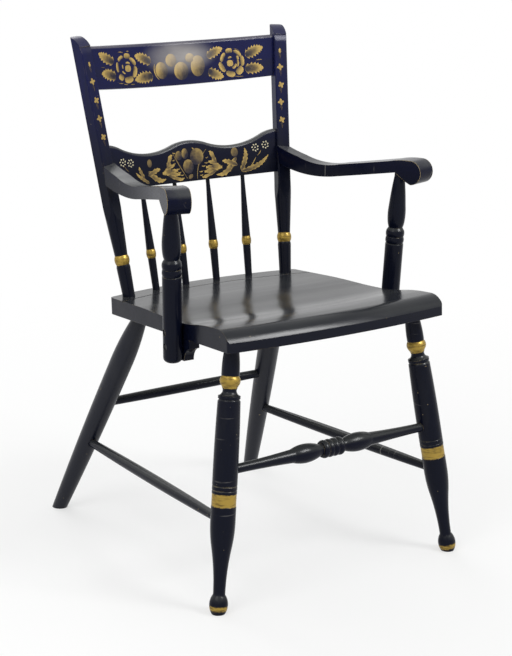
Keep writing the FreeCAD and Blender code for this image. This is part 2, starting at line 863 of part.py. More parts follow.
def arm_frame(side):
    """An arm's frame: over the arm post at the nose's height, X along the nose, Z up."""
    origin = Vector(side * arm_top_x, arm_top_y, s.arm_height + s.arm_nose_rise)
    tip = float(s.arm_nose_reach + arm_nose)
    forward = Vector(side * s.arm_toe_out, -math.sqrt(tip * tip - s.arm_toe_out ** 2), 0)
    return Placement(origin, Rotation(forward, Vector(), UP, "ZXY"))


def arm_joint(side):
    """The point of a back post's face that the arm meets, in the arm's frame."""
    joint = post_frames[side].multVec(Vector(0, -post_face, s.arm_joint_height))
    return arm_frame(side).inverse().multVec(joint)


arm_rear_reach = -arm_joint(1).x
arm_rear_offset = arm_joint(1).y
arm_bend_radius = (arm_rear_reach ** 2 / arm_rear_offset + arm_rear_offset) / 2
arm_bend_angle = math.asin(arm_rear_reach / arm_bend_radius)

# side outline as shares of the reach from the arm post to the back post and of the
# nose's height: each corner, and the point that an arc to it passes through
arm_side_shares = (
    ((0.010, -0.055), (0.062, -0.30)),
    ((-0.458, -0.60),),
    ((-1.0, -0.540), (-0.72, -0.765)),
    ((-1.1, -0.46),),
    ((-1.1, 0.38),),
    ((-0.82, -0.06), (-0.96, 0.12)),
    ((-0.44, -0.07), (-0.62, -0.22)),
    ((-0.04, 0.385),),
)
arm_crown_share = 0.10


def arm_point(share):
    return arm_rear_reach * share[0], s.arm_nose_height * share[1]


def arm_edge(side, share, offset):
    """A point beside the arm's bent centre line: the share of the bend behind the arm
    post, and how far outwards of the line it lies."""
    angle = arm_bend_angle * share
    radius = arm_bend_radius - float(offset)
    return -radius * math.sin(angle), side * (arm_bend_radius - radius * math.cos(angle))


def arm(label, side):
    """A shaped arm, its rear end cut to the back post and given a round tenon."""
    place = arm_frame(side)
    path = [(s.arm_nose_reach, -arm_nose, s.arm_nose_reach + arm_nose, 0)]
    for corner, *via in arm_side_shares:
        path.append(arm_point(corner) + (arm_point(via[0]) if via else ()))
    crown = arm_rear_reach * arm_crown_share
    path.append((crown, arm_nose, crown * 0.30, arm_nose * 0.94))
    path.append((s.arm_nose_reach, arm_nose))
    profile = doc.addObject("PartDesign::Body", f"{label}_profile")
    profile.Placement = place
    side_view = new_sketch(profile, "XZ_Plane", f"{label}_side_view")
    outline(side_view, path)
    feature(profile, "Pad", side_view, SideType="Symmetric", Length=s.arm_nose_width * 6)
    plan = doc.addObject("PartDesign::Body", f"{label}_plan")
    plan.Placement = place
    top_view = new_sketch(plan, "XY_Plane", f"{label}_top_view")
    tip = s.arm_nose_reach + arm_nose + s.overrun
    wide, narrow = s.arm_nose_width / 2, s.arm_rear_width / 2
    waist = wide * 0.76
    heel = 1 + float(s.arm_rear_overrun) / arm_rear_reach
    outline(top_view, [
        (tip, wide * side),
        (0, wide * side),
        (*arm_edge(side, heel, narrow), *arm_edge(side, 0.45, waist)),
        arm_edge(side, heel, -narrow),
        (0, -wide * side, *arm_edge(side, 0.45, -waist)),
        (tip, -wide * side),
    ])
    feature(plan, "Pad", top_view, SideType="Symmetric", Length=s.arm_nose_height * 2)
    body = doc.addObject("Part::Common", f"{label}_blank")
    body.Base = profile
    body.Tool = plan
    at_joint = shifted(post_frames[side], 0, -post_face, s.arm_joint_height)
    half_trim = s.trim_reach / 2
    trim = bar(f"{label}_trim", s.trim_reach, s.trim_reach, s.trim_reach,
               shifted(at_joint, -half_trim, 0, -half_trim))
    forwards = Placement(Vector(), Rotation(Vector(1, 0, 0), 90))
    foot = shifted(at_joint, 0, s.arm_tenon_length, 0).multiply(forwards)
    tenon = rod(f"{label}_tenon", s.arm_tenon_diameter, s.arm_tenon_length * 2, foot)
    socket = rod(f"{label}_socket", s.arm_tenon_diameter + s.glue_gap * 2,
                 s.arm_tenon_length + s.socket_end_gap + s.overrun,
                 shifted(foot, 0, 0, -s.socket_end_gap))
    return fuse(f"{label}_joined", cut(f"{label}_trimmed", body, trim), tenon), socket


# Back posts: a turned blank shaved flat above the shoulder, rolled back at the top
def post_blank(label):
    low = s.post_bead_height - s.post_bead_length / 2
    high = s.post_bead_height + s.post_bead_length / 2
    rise = s.post_shoulder_height
    body = turned(label, half_outline([
        (-s.post_tenon_length, s.post_foot_diameter),
        (s.post_foot_diameter / 4, s.post_foot_diameter),
        (low - s.overrun, s.post_below_bead_diameter),
        (low, s.post_waist_diameter),
        (low, s.post_bead_diameter * 0.86),
        (high, s.post_bead_diameter * 0.86, s.post_bead_height, s.post_bead_diameter),
        (high, s.post_waist_diameter),
        (rise, s.post_blank_diameter, (high + rise) / 2, s.post_blank_diameter * 0.87),
        (post_length, s.post_blank_diameter),
    ]))
    flat, far = s.post_width / 2, s.post_blank_diameter
    run = s.post_blank_diameter * 0.9
    over = post_length + s.overrun
    sides = new_sketch(body, "XZ_Plane", f"{label}_side_flats")
    for side in SIDES.values():
        outline(sides, [
            (flat * side, over),
            (far * side, over),
            (far * side, rise - run),
            (s.post_blank_diameter * 0.5 * side, rise - run),
            (flat * side, rise + run / 2, flat * 1.08 * side, rise - run * 0.2),
        ])
    feature(body, "Pocket", sides, SideType="Symmetric", Type="Length",
            Length=s.post_blank_diameter * 3)
    face, back = post_face, s.post_depth / 2
    cap = post_length - s.post_cap_height
    roll = post_length - s.post_cap_roll
    bend = (s.post_cap_roll * s.post_cap_roll / s.post_depth + s.post_depth) / 2
    cap_up = s.post_cap_roll - s.post_cap_height
    lift = bend - root(bend * bend - cap_up * cap_up)
    fronts = new_sketch(body, "YZ_Plane", f"{label}_front_and_back")
    outline(fronts, [
        (-far, over),
        (-far, rise - run),
        (-s.post_blank_diameter * 0.5, rise - run),
        (-face, rise + run / 2, -face * 1.08, rise - run * 0.2),
        (-face, roll),
        (lift - face, cap, lift / 4 - face, (roll + cap) / 2),
        (lift - back, cap),
        (back, post_length, s.post_depth * 0.275 - back, roll + s.post_cap_roll * 0.617),
        (back, over),
    ])
    outline(fronts, [
        (far, over),
        (far, rise - run),
        (s.post_blank_diameter * 0.5, rise - run),
        (back, rise + run / 2, back * 1.08, rise - run * 0.2),
        (back, over + s.overrun),
    ])
    feature(body, "Pocket", fronts, SideType="Symmetric", Type="Length",
            Length=s.post_blank_diameter * 3)
    return body


arms = {}
for name, side in SIDES.items():
    arms[name], arm_socket = arm(f"arm_{name}", side)
    blank = post_blank(f"back_post_{name}_blank")
    blank.Placement = post_frames[side]
    keep(f"back_post_{name}", cut(
        f"back_post_{name}", blank,
        mortise(f"crest_mortise_{name}", side, *crest_tenon),
        mortise(f"splat_mortise_{name}", side, *splat_tenon),
        arm_socket,
    ))
    seat_drills.append(rod(
        f"back_post_{name}_socket", s.post_foot_diameter + s.glue_gap * 2,
        s.post_tenon_length + s.socket_end_gap + s.overrun,
        shifted(post_frames[side], 0, 0, -s.post_tenon_length - s.socket_end_gap)))

# Arm posts: turned, flattened against the seat's side, screwed to seat and cleat
def side_frame(side):
    """The seat's side beside the arm post: X square out of it, Z up the plank's side."""
    station = s.arm_post_station
    edge = Vector(side * seat_half_width(station), station, 0)
    outwards = Vector(side, s.seat_taper / s.seat_depth, 0)
    turn = Rotation(outwards, Vector(), UP, "ZXY")
    return seat_frame.multiply(Placement(edge, turn))


arm_post_shares = (
    # share of the height from the seat's underside to the arm, and diameter
    (0.452, s.arm_post_diameter),
    (0.456, s.arm_post_diameter - s.arm_post_ring_depth * 2),
    (0.460, s.arm_post_diameter * 0.96),
    (0.505, s.arm_post_diameter * 0.96, 0.4825, s.arm_post_diameter * 1.02),
    (0.507, s.arm_post_diameter - s.arm_post_ring_depth * 2),
    (0.509, s.arm_post_diameter * 0.96),
    (0.556, s.arm_post_diameter * 0.96, 0.5325, s.arm_post_diameter * 1.02),
    (0.576, s.arm_post_neck_diameter),
    (0.620, s.arm_post_bulb_diameter * 0.95, 0.593, s.arm_post_bulb_diameter * 0.87),
    (0.745, s.arm_post_bulb_diameter * 0.94, 0.677, s.arm_post_bulb_diameter),
)


def screw(label, place, length):
    """A slotted screw, its head's underside at the placement's origin."""
    head, height = s.screw_head_diameter, s.screw_head_height
    body = turned(f"{label}_blank", half_outline([
        (-height, head * 0.6),
        (-height * 0.35, head, -height * 0.8, head * 0.88),
        (0, head),
        (0, s.screw_shank_diameter),
        (length - s.screw_shank_diameter * 1.5, s.screw_shank_diameter),
        (length, s.screw_shank_diameter * 0.2),
    ]))
    body.Placement = place
    slot = bar(f"{label}_slot", head * 2, s.screw_slot_width, s.screw_slot_depth + s.overrun,
               shifted(place, -head, -s.screw_slot_width / 2, -height - s.overrun))
    return cut(label, body, slot)


def screw_hole(label, place, length):
    """The drill for a screw's shank, past its tip."""
    return rod(f"{label}_hole", s.screw_shank_diameter + s.screw_gap * 2,
               s.overrun + length + s.socket_end_gap, shifted(place, 0, 0, -s.overrun))


def head_hole(label, place):
    """The drill that clears a screw's head, from its underside outwards."""
    depth = s.cleat_height
    return rod(f"{label}_head_hole", s.screw_head_diameter + s.screw_gap * 2, depth,
               shifted(place, 0, 0, -depth))


def screw_group(label, names, places, length):
    group = doc.addObject("Part::Compound", f"{label}_pair")
    group.Links = [screw(name, place, length) for name, place in zip(names, places)]
    keep(label, group)


for name, side in SIDES.items():
    label = f"arm_post_{name}"
    beside = side_frame(side)
    bearing = s.arm_post_diameter - s.arm_post_flat
    heel = beside.multVec(Vector(bearing - s.arm_post_diameter / 2, 0, 0))
    top = Vector(side * arm_top_x, arm_top_y, s.arm_height)
    length = (top - heel).Length
    place = facing(heel, top - heel)
    round_end = s.arm_post_end_radius
    lead = length - float(s.leg_tenon_lead)
    stations = [
        (-s.arm_post_drop, s.arm_post_diameter - round_end * 2),
        (round_end - s.arm_post_drop, s.arm_post_diameter,
         round_end * 0.293 - s.arm_post_drop, s.arm_post_diameter - round_end * 0.586),
    ]
    stations += station_path(length, arm_post_shares)
    stations += [
        (lead, s.arm_post_top_diameter, length * 0.86, s.arm_post_bulb_diameter * 0.78),
        (s.arm_post_tenon + length, s.arm_post_top_diameter),
    ]
    blank = turned(f"{label}_blank", half_outline(stations))
    blank.Placement = place

    # screws through the post into the seat's edge and the cleat
    head_seat = bearing - s.arm_screw_sink - s.screw_head_height
    side_places = [
        beside.multiply(Placement(Vector(head_seat, 0, height), Rotation(Vector(0, 1, 0), -90)))
        for height in (s.upper_screw_rise, -s.lower_screw_drop)
    ]
    side_names = [f"{label}_upper_screw", f"{label}_lower_screw"]
    screw_group(f"{label}_screws", side_names, side_places, s.arm_screw_length)
    flat = bar(f"{label}_flat", s.trim_reach, s.trim_reach, s.trim_reach,
               shifted(beside, -s.trim_reach, -s.trim_reach / 2, -s.trim_reach / 2))
    post_tools = [flat]
    for screw_name, screw_place in zip(side_names, side_places):
        post_tools.append(screw_hole(f"{screw_name}_post", screw_place, s.arm_screw_length))
        post_tools.append(head_hole(f"{screw_name}_post", screw_place))
    keep(label, cut(label, blank, *post_tools))
    arm_drill = rod(f"{label}_top_socket", s.arm_post_top_diameter + s.glue_gap * 2,
                    s.arm_post_tenon + s.socket_end_gap + s.overrun,
                    shifted(place, 0, 0, length - s.overrun))
    keep(f"arm_{name}", cut(f"arm_{name}", arms[name], arm_drill))

    # the cleat under the seat and its two screws from beneath
    cleat = doc.addObject("PartDesign::Body", f"{label}_block_blank")
    cleat.Placement = beside
    view = new_sketch(cleat, "YZ_Plane", f"{label}_block_outline")
    end, stem = s.cleat_length / 2, s.cleat_stem_length / 2
    lip, foot_level = s.cleat_lip, s.cleat_height
    scoop = s.cleat_height * 0.2
    outline(view, [
        (-end, 0),
        (-end, -lip),
        (-stem, -foot_level, -(stem + (end - stem) * 0.3), -(lip + scoop * 1.02)),
        (stem, -foot_level),
        (end, -lip, stem + (end - stem) * 0.3, -(lip + scoop * 1.02)),
        (end, 0),
    ])
    feature(cleat, "Pad", view, Length=s.cleat_width, Reversed=True)
    under_places = [
        shifted(beside, -s.cleat_width / 2, half * s.cleat_screw_spread / 2,
                s.screw_head_height - s.cleat_lip)
        for half in SIDES.values()
    ]
    under_names = [f"block_{name}_front_screw", f"block_{name}_rear_screw"]
    screw_group(f"block_screws_{name}", under_names, under_places, s.cleat_screw_length)
    block_tools = [screw_hole(f"{side_names[1]}_block", side_places[1], s.arm_screw_length)]
    for screw_name, screw_place in zip(under_names, under_places):
        block_tools.append(screw_hole(f"{screw_name}_block", screw_place, s.cleat_screw_length))
        block_tools.append(head_hole(f"{screw_name}_block", screw_place))
        seat_drills.append(screw_hole(f"{screw_name}_seat", screw_place, s.cleat_screw_length))
    keep(f"arm_post_block_{name}", cut(f"{label}_block", cleat, *block_tools))
    seat_drills.append(screw_hole(f"{side_names[0]}_seat", side_places[0], s.arm_screw_length))

# Plank seat: its section turned about the front edge's centre, then cut to plan
seat = doc.addObject("PartDesign::Body", "seat_plank_blank")
seat_centre = seat_front_radius - s.seat_front_bow
seat.Placement = shifted(seat_frame, 0, seat_centre, 0)
front = -seat_front_radius
back = s.seat_depth + s.seat_rear_bow - seat_centre
crown, scoop, deck = s.seat_crown_thickness, s.seat_scoop_thickness, s.seat_deck_thickness
roll = crown - s.seat_edge_face
roll_radius = (s.seat_roll_reach * s.seat_roll_reach / roll + roll) / 2
roll_run = s.seat_roll_reach * 0.6


def ogee(start_y, start_z, end_y, end_z):
    """Two arcs of a smooth rise or fall that is level at both ends."""
    run, rise = end_y - start_y, end_z - start_z
    return [
        (start_y + run / 2, start_z + rise / 2, start_y + run / 4, start_z + rise / 8),
        (end_y, end_z, end_y - run / 4, end_z - rise / 8),
    ]


section = new_sketch(seat, "YZ_Plane", "seat_section")
outline(section, [
    (front, 0),
    (front, s.seat_edge_face),
    (front + s.seat_roll_reach, crown, front + s.seat_roll_reach - roll_run,
     crown - roll_radius + root(roll_radius * roll_radius - roll_run * roll_run)),
    (front + s.seat_crown_station, crown),
    *ogee(front + s.seat_crown_station, crown, front + s.seat_scoop_station, scoop),
    *ogee(front + s.seat_scoop_station, scoop, front + s.seat_deck_station, deck),
    (back + s.overrun, deck),
    (back + s.overrun, 0),
])
seat_sweep = 2.6 * math.degrees(math.asin(s.seat_front_width / 2 / -front))
feature(seat, "Revolution", section, ReferenceAxis=(section, ["V_Axis"]), Angle=seat_sweep,
        Midplane=True)
plan = new_sketch(seat, "XY_Plane", "seat_plan")
margin = s.seat_front_width
outline(plan, [
    (-margin, front - margin),
    (margin, front - margin),
    (margin, back + margin),
    (-margin, back + margin),
])
front_corner, rear_corner = s.seat_front_width / 2, seat_rear_width / 2
taper = s.seat_taper / s.seat_depth
front_level, rear_level = -seat_centre, s.seat_depth - seat_centre
# a rounded corner as shares of its radius: along the side, along the end arc in x and y,
# and how far its middle lies inside the sharp corner in x and y
front_round_shares = (0.902, 0.894, 0.130, 0.268, 0.222)
rear_round_shares = (0.720, 0.693, 0.199, 0.183, 0.144)


def rounded_corner(x, y, radius, inwards, shares):
    """Where a corner's rounding meets the side and the end arc, and its middle."""
    along, end_x, end_y, middle_x, middle_y = (radius * share for share in shares)
    return (
        (x - taper * along * inwards, y + along * inwards),
        (x - end_x, y - end_y * inwards),
        (x - middle_x, y + middle_y * inwards),
    )


front_side, front_end, front_via = rounded_corner(
    front_corner, front_level, s.seat_front_corner_radius, 1, front_round_shares)
rear_side, rear_end, rear_via = rounded_corner(
    rear_corner, rear_level, s.seat_rear_corner_radius, -1, rear_round_shares)


def left_of(point):
    return -point[0], point[1]


outline(plan, [
    (*front_end, 0, front),
    (*front_side, *front_via),
    rear_side,
    (*rear_end, *rear_via),
    (*left_of(rear_end), 0, back),
    (*left_of(rear_side), *left_of(rear_via)),
    left_of(front_side),
    (*left_of(front_end), *left_of(front_via)),
])
feature(seat, "Pocket", plan, Reversed=True, Length=crown * 2)

# a scored line across the deck, following the rear edge
score = new_sketch(seat, "XY_Plane", "seat_score")
score.AttachmentOffset = Placement(Vector(0, 0, deck), Rotation())
score.setExpression("AttachmentOffset.Base.z", deck.text)
score_reach = s.seat_front_width / 2 + s.overrun
score_outer = seat_rear_radius - s.seat_groove_inset
score_inner = score_outer - s.seat_groove_width
arc_middle = rear_arc_centre - seat_centre
outer_y = arc_middle + root(score_outer * score_outer - score_reach * score_reach)
inner_y = arc_middle + root(score_inner * score_inner - score_reach * score_reach)
outline(score, [
    (-score_reach, inner_y),
    (score_reach, inner_y, 0, arc_middle + score_inner),
    (score_reach, outer_y),
    (-score_reach, outer_y, 0, arc_middle + score_outer),
])
feature(seat, "Pocket", score, Length=s.seat_groove_depth)

for end, diameter in (("front", s.front_tenon_diameter), ("rear", s.rear_tenon_diameter)):
    for name, side in SIDES.items():
        foot, top = axes[end, side]
        axis = (top - foot).normalize()
        seat_drills.append(rod(
            f"{end}_leg_{name}_socket", diameter + s.glue_gap * 2,
            s.overrun * 2 + s.leg_tenon_length + s.socket_end_gap,
            facing(top - axis * float(s.overrun * 2), axis)))
keep("seat_plank", cut("seat_plank", seat, *seat_drills))

# Checks of every object and the files of the pieces
doc.recompute()
for item in doc.Objects:
    wrong = {"Invalid", "Error"} & set(item.State)
    if wrong:
        raise RuntimeError(f"{item.Name} is {wrong}")
for label, item in pieces.items():
    shape = item.Shape
    if shape.isNull() or not shape.isValid() or not shape.Solids:
        raise RuntimeError(f"{label} has no valid solid")
os.makedirs("parts", exist_ok=True)
for label, item in pieces.items():
    item.Shape.exportStep(f"parts/{label}.step")
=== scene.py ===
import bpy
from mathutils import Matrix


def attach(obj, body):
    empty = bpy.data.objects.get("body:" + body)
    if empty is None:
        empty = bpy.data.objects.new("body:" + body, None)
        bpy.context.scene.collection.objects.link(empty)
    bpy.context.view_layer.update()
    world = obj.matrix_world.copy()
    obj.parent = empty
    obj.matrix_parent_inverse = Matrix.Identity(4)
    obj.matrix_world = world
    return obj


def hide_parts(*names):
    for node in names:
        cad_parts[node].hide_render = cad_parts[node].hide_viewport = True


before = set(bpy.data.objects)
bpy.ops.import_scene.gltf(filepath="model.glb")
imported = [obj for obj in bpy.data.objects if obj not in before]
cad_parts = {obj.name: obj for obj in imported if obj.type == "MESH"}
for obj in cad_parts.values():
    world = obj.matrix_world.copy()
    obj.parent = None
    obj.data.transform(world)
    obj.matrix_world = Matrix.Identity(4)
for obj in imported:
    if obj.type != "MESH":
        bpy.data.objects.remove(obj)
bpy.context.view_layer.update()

import math

import bmesh
import bpy
from bpy.props import FloatProperty, FloatVectorProperty, PointerProperty
from mathutils import Matrix, Vector

bl_info = {
    "name": "Stencilled armchair",
    "version": (1, 0, 0),
    "blender": (4, 5, 0),
    "location": "3D View > Sidebar > Armchair",
    "description": "Dresses a plank-seat armchair in worn blue-black paint with gold stencils",
    "category": "Object",
}

SIDES = {"left": -1, "right": 1}
MILLIMETRE = 0.001
WHITE = (1, 1, 1, 1)
# A stencil's gold has a shade of 0 to 1 at its points, and its cream dots have this one
CREAM = 1.2

# How noise is stretched by the wood's grain, least across it
GRAIN_ACROSS, GRAIN_FORWARDS, GRAIN_UP = (0.12, 1, 1), (1, 0.12, 1), (1, 1, 0.12)

# Places in metres and directions of the chair's pieces, of the right one of each pair
FRONT_LEG_FOOT = Vector((0.233, -0.27498, 0.0))
FRONT_LEG_TOP = Vector((0.177, -0.23004, 0.40871))
BACK_POST_FOOT = Vector((0.161, 0.101, 0.41779))
BACK_POST_UP = Vector((0.08846, 0.18743, 0.97829))
BACK_POST_BACK = Vector((0.21729, 0.95485, -0.20259))
OUTER_SPINDLE = Vector((0.09547, 0.12008, 0.4167)), Vector((0.04309, 0.17798, 0.98309))
INNER_SPINDLE = Vector((0.03156, 0.12623, 0.41635)), Vector((0.01362, 0.1767, 0.98417))
ARM_NOSE = Vector((0.2245, -0.13398, 0.629))
ARM_FORWARDS = Vector((0.3, -0.95394, 0.0))

# The plane in which the back leans, and the round bend of its two rails
BACK_ORIGIN = Vector((0.0, 0.101, 0.41779))
BACK_UP = Vector((0.0, 0.18817, 0.98214))
BACK_AWAY = Vector((0.0, 0.98214, -0.18817))
BACK_RADIUS = 0.812
RAIL_FACE = 0.0075
POST_FACE = 0.0113

# How far up the back each rail starts, and where the middle of its bend lies
CREST_FOOT, CREST_CENTRE = 0.3473, -0.78478
SPLAT_FOOT, SPLAT_CENTRE = 0.178, -0.78828


class PaintSettings(bpy.types.PropertyGroup):
    """Colours and wear of the painted wood."""
    low_colour: FloatVectorProperty(
        name="Lower paint", description="Paint of the seat and everything under it",
        subtype="COLOR", size=4, min=0, max=1, default=(0.0026, 0.0038, 0.0112, 1))
    high_colour: FloatVectorProperty(
        name="Upper paint", description="Bluer paint of the crest rail and post tops",
        subtype="COLOR", size=4, min=0, max=1, default=(0.0085, 0.0105, 0.060, 1))
    faded: FloatVectorProperty(
        name="Faded paint", description="Greyer paint in the worn streaks of the grain",
        subtype="COLOR", size=4, min=0, max=1, default=(0.012, 0.013, 0.018, 1))
    gold: FloatVectorProperty(
        name="Gold", description="Bronze powder gold of beads and bands",
        subtype="COLOR", size=4, min=0, max=1, default=(0.37, 0.25, 0.052, 1))
    old_gold: FloatVectorProperty(
        name="Rubbed gold", description="Darker gold where the bands are rubbed",
        subtype="COLOR", size=4, min=0, max=1, default=(0.15, 0.10, 0.03, 1))
    worn: FloatVectorProperty(
        name="Worn edge", description="Bare wood that shows on rubbed edges",
        subtype="COLOR", size=4, min=0, max=1, default=(0.42, 0.33, 0.17, 1))
    # painted sheen: this grey on the sides that face up is partly a dusty film and partly the
    # light that falls on them from above
    dust: FloatVectorProperty(
        name="Dulled top", description="Grey of the surfaces that face up",
        subtype="COLOR", size=4, min=0, max=1, default=(0.105, 0.11, 0.10, 1))
    # painted sheen: the same grey for the upper pieces, lightening the rails' rounded tops as a
    # highlight would, and partly a dusty film
    high_dust_and_sheen: FloatVectorProperty(
        name="Dulled crest", description="Grey of the upper pieces' surfaces that face up",
        subtype="COLOR", size=4, min=0, max=1, default=(0.115, 0.11, 0.14, 1))
    scuff: FloatVectorProperty(
        name="Scuffs", description="Colour of the scratches",
        subtype="COLOR", size=4, min=0, max=1, default=(0.30, 0.29, 0.27, 1))
    # painted reflection: the pale patch in the middle of the crest rail's front is a reflection
    # painted into the colour
    painted_reflection: FloatVectorProperty(
        name="Bloom", description="Pale bloom of the old varnish on the crest rail",
        subtype="COLOR", size=4, min=0, max=1, default=(0.44, 0.42, 0.40, 1))
    gloss_roughness: FloatProperty(
        name="Roughness", description="Roughness of the varnished paint",
        subtype="FACTOR", min=0, max=1, default=0.20)
    edge_radius: FloatProperty(
        name="Edge softness", description="Radius that the shading gives to sawn edges",
        subtype="DISTANCE", unit="LENGTH", min=0, default=0.0012)


class ScrewSettings(bpy.types.PropertyGroup):
    """Colours of the slotted screws."""
    steel: FloatVectorProperty(
        name="Dark steel", description="Painted steel of the screws' heads",
        subtype="COLOR", size=4, min=0, max=1, default=(0.025, 0.025, 0.03, 1))
    bright_steel: FloatVectorProperty(
        name="Bright steel", description="Bare steel on the screws' rubbed edges",
        subtype="COLOR", size=4, min=0, max=1, default=(0.22, 0.21, 0.20, 1))


class StencilSettings(bpy.types.PropertyGroup):
    """The stencilled gold ornament."""
    film: FloatProperty(
        name="Film", description="Thickness of the bronze powder film",
        subtype="DISTANCE", unit="LENGTH", min=0, default=0.00012)
    bright: FloatVectorProperty(
        name="Bright gold", description="Full bronze powder",
        subtype="COLOR", size=4, min=0, max=1, default=(0.43, 0.295, 0.085, 1))
    cream: FloatVectorProperty(
        name="Cream", description="Pale dots of the small flowers",
        subtype="COLOR", size=4, min=0, max=1, default=(0.58, 0.53, 0.36, 1))
    # painted reflection: the same pale patch laid over the crest's gold
    painted_reflection: FloatVectorProperty(
        name="Bloom", description="Pale bloom of the old varnish over the gold",
        subtype="COLOR", size=4, min=0, max=1, default=(0.50, 0.43, 0.34, 1))
    dull: FloatVectorProperty(
        name="Faded gold", description="Thin bronze powder in the shaded parts",
        subtype="COLOR", size=4, min=0, max=1, default=(0.012, 0.010, 0.022, 1))


class StageSettings(bpy.types.PropertyGroup):
    """Floor, lamps and camera."""
    floor_colour: FloatVectorProperty(
        name="Floor", description="Colour of the plain floor",
        subtype="COLOR", size=4, min=0, max=1, default=(0.93, 0.935, 0.93, 1))
    floor_shade: FloatVectorProperty(
        name="Floor shade", description="Second colour of the floor's faint clouds",
        subtype="COLOR", size=4, min=0, max=1, default=(0.915, 0.925, 0.915, 1))
    sky_level: FloatProperty(
        name="Room light", description="Strength of the even light of the room",
        min=0, default=0.59)
    key_power: FloatProperty(
        name="Key lamp", description="Power of the large soft lamp", unit="POWER",
        min=0, default=42)
    lens: FloatProperty(
        name="Lens", description="Focal length of the camera", subtype="DISTANCE_CAMERA",
        min=1, default=98.64)


class ArmchairSettings(bpy.types.PropertyGroup):
    """All settings of the armchair."""
    paint: PointerProperty(type=PaintSettings)
    screws: PointerProperty(type=ScrewSettings)
    stencil: PointerProperty(type=StencilSettings)
    stage: PointerProperty(type=StageSettings)


# Materials
class Finish:
    """A node material being put together, with a short word for each kind of node."""
    # cosine between a rounded and a plain normal, on an edge and on a face
    edge_turn = (0.80, 0.97)

    def __init__(self, name):
        self.material = bpy.data.materials.new(name)
        self.material.use_nodes = True
        self.tree = self.material.node_tree
        self.tree.nodes.clear()
        self.output = self.tree.nodes.new("ShaderNodeOutputMaterial")
        self.shader = self.node("ShaderNodeBsdfPrincipled")
        self.join(self.shader.outputs["BSDF"], self.output.inputs["Surface"])
        self.place = self.node("ShaderNodeTexCoord").outputs["Object"]

    def node(self, kind, **settings):
        made = self.tree.nodes.new(kind)
        for name, value in settings.items():
            setattr(made, name, value)
        return made

    def join(self, value, socket):
        """Feeds a socket from another one, or sets it to a plain value."""
        if isinstance(value, bpy.types.NodeSocket):
            self.tree.links.new(value, socket)
        else:
            socket.default_value = value

    def math(self, operation, *values, clamp=False):
        made = self.node("ShaderNodeMath", operation=operation, use_clamp=clamp)
        for value, socket in zip(values, made.inputs):
            self.join(value, socket)
        return made.outputs[0]

    def ease(self, value, low, high, to_low=0.0, to_high=1.0):
        """A soft step from one level to another between two values."""
        made = self.node("ShaderNodeMapRange", interpolation_type="SMOOTHSTEP")
        for socket, given in zip(made.inputs, (value, low, high, to_low, to_high)):
            self.join(given, socket)
        return made.outputs[0]

    def mix(self, factor, first, second):
        """A blend of two colours, which are the sockets 6, 7 and 2 of a colour mix."""
        made = self.node("ShaderNodeMix", data_type="RGBA")
        for value, number in ((factor, 0), (first, 6), (second, 7)):
            self.join(value, made.inputs[number])
        return made.outputs[2]

    def noise(self, scale, detail=3.0, stretch=(1, 1, 1), roughness=0.5):
        """Cloudy noise in metres, longer along an axis where its stretch is small."""
        mapping = self.node("ShaderNodeMapping")
        self.join(self.place, mapping.inputs["Vector"])
        mapping.inputs["Scale"].default_value = stretch
        made = self.node("ShaderNodeTexNoise")
        self.join(mapping.outputs[0], made.inputs["Vector"])
        made.inputs["Scale"].default_value = scale
        made.inputs["Detail"].default_value = detail
        made.inputs["Roughness"].default_value = roughness
        return made.outputs[0]

    def kept(self, name):
        """A value that the mesh keeps at its points."""
        return self.node("ShaderNodeAttribute", attribute_name=name).outputs["Fac"]

    def upward(self, vector):
        """How high a place is, or how far a direction points up."""
        split = self.node("ShaderNodeSeparateXYZ")
        self.join(vector, split.inputs[0])
        return split.outputs["Z"]

    def length(self, vector):
        made = self.node("ShaderNodeVectorMath", operation="LENGTH")
        self.join(vector, made.inputs[0])
        return made.outputs["Value"]

    def facing(self):
        return self.node("ShaderNodeNewGeometry").outputs["Normal"]

    def soft_edge(self, radius):
        bevel = self.node("ShaderNodeBevel", samples=6)
        bevel.inputs["Radius"].default_value = radius
        return bevel.outputs[0]

    def edge_mask(self, radius):
        """One on the piece's own edges, zero on its faces."""
        cosine = self.node("ShaderNodeVectorMath", operation="DOT_PRODUCT")
        self.join(self.soft_edge(radius), cosine.inputs[0])
        self.join(self.facing(), cosine.inputs[1])
        return self.ease(cosine.outputs["Value"], *self.edge_turn, 1.0, 0.0)

    def band(self, value, low, high, feather):
        """One between two values, zero outside them."""
        rise = self.ease(value, low - feather, low + feather)
        fall = self.ease(value, high - feather, high + feather, 1.0, 0.0)
        return self.math("MULTIPLY", rise, fall)

    def patch(self, centre, reach, level):
        """A soft ragged patch round a place, fading out at its reach."""
        mapping = self.node("ShaderNodeMapping")
        self.join(self.place, mapping.inputs["Vector"])
        mapping.inputs["Scale"].default_value = [1 / size for size in reach]
        mapping.inputs["Location"].default_value = [-c / r for c, r in zip(centre, reach)]
        fading = self.ease(self.length(mapping.outputs[0]), 0.5, 1.0, level, 0.0)
        ragged = self.ease(self.noise(30, 3, (0.4, 1, 1)), 0.25, 0.7, 0.6, 1.0)
        return self.math("MULTIPLY", fading, ragged)

    def bump(self, height, depth, normal=None):
        made = self.node("ShaderNodeBump")
        made.inputs["Distance"].default_value = depth
        self.join(height, made.inputs["Height"])
        if normal is not None:
            self.join(normal, made.inputs["Normal"])
        return made.outputs[0]

    def feed(self, **sockets):
        for name, value in sockets.items():
            self.join(value, self.shader.inputs[name.replace("_", " ")])


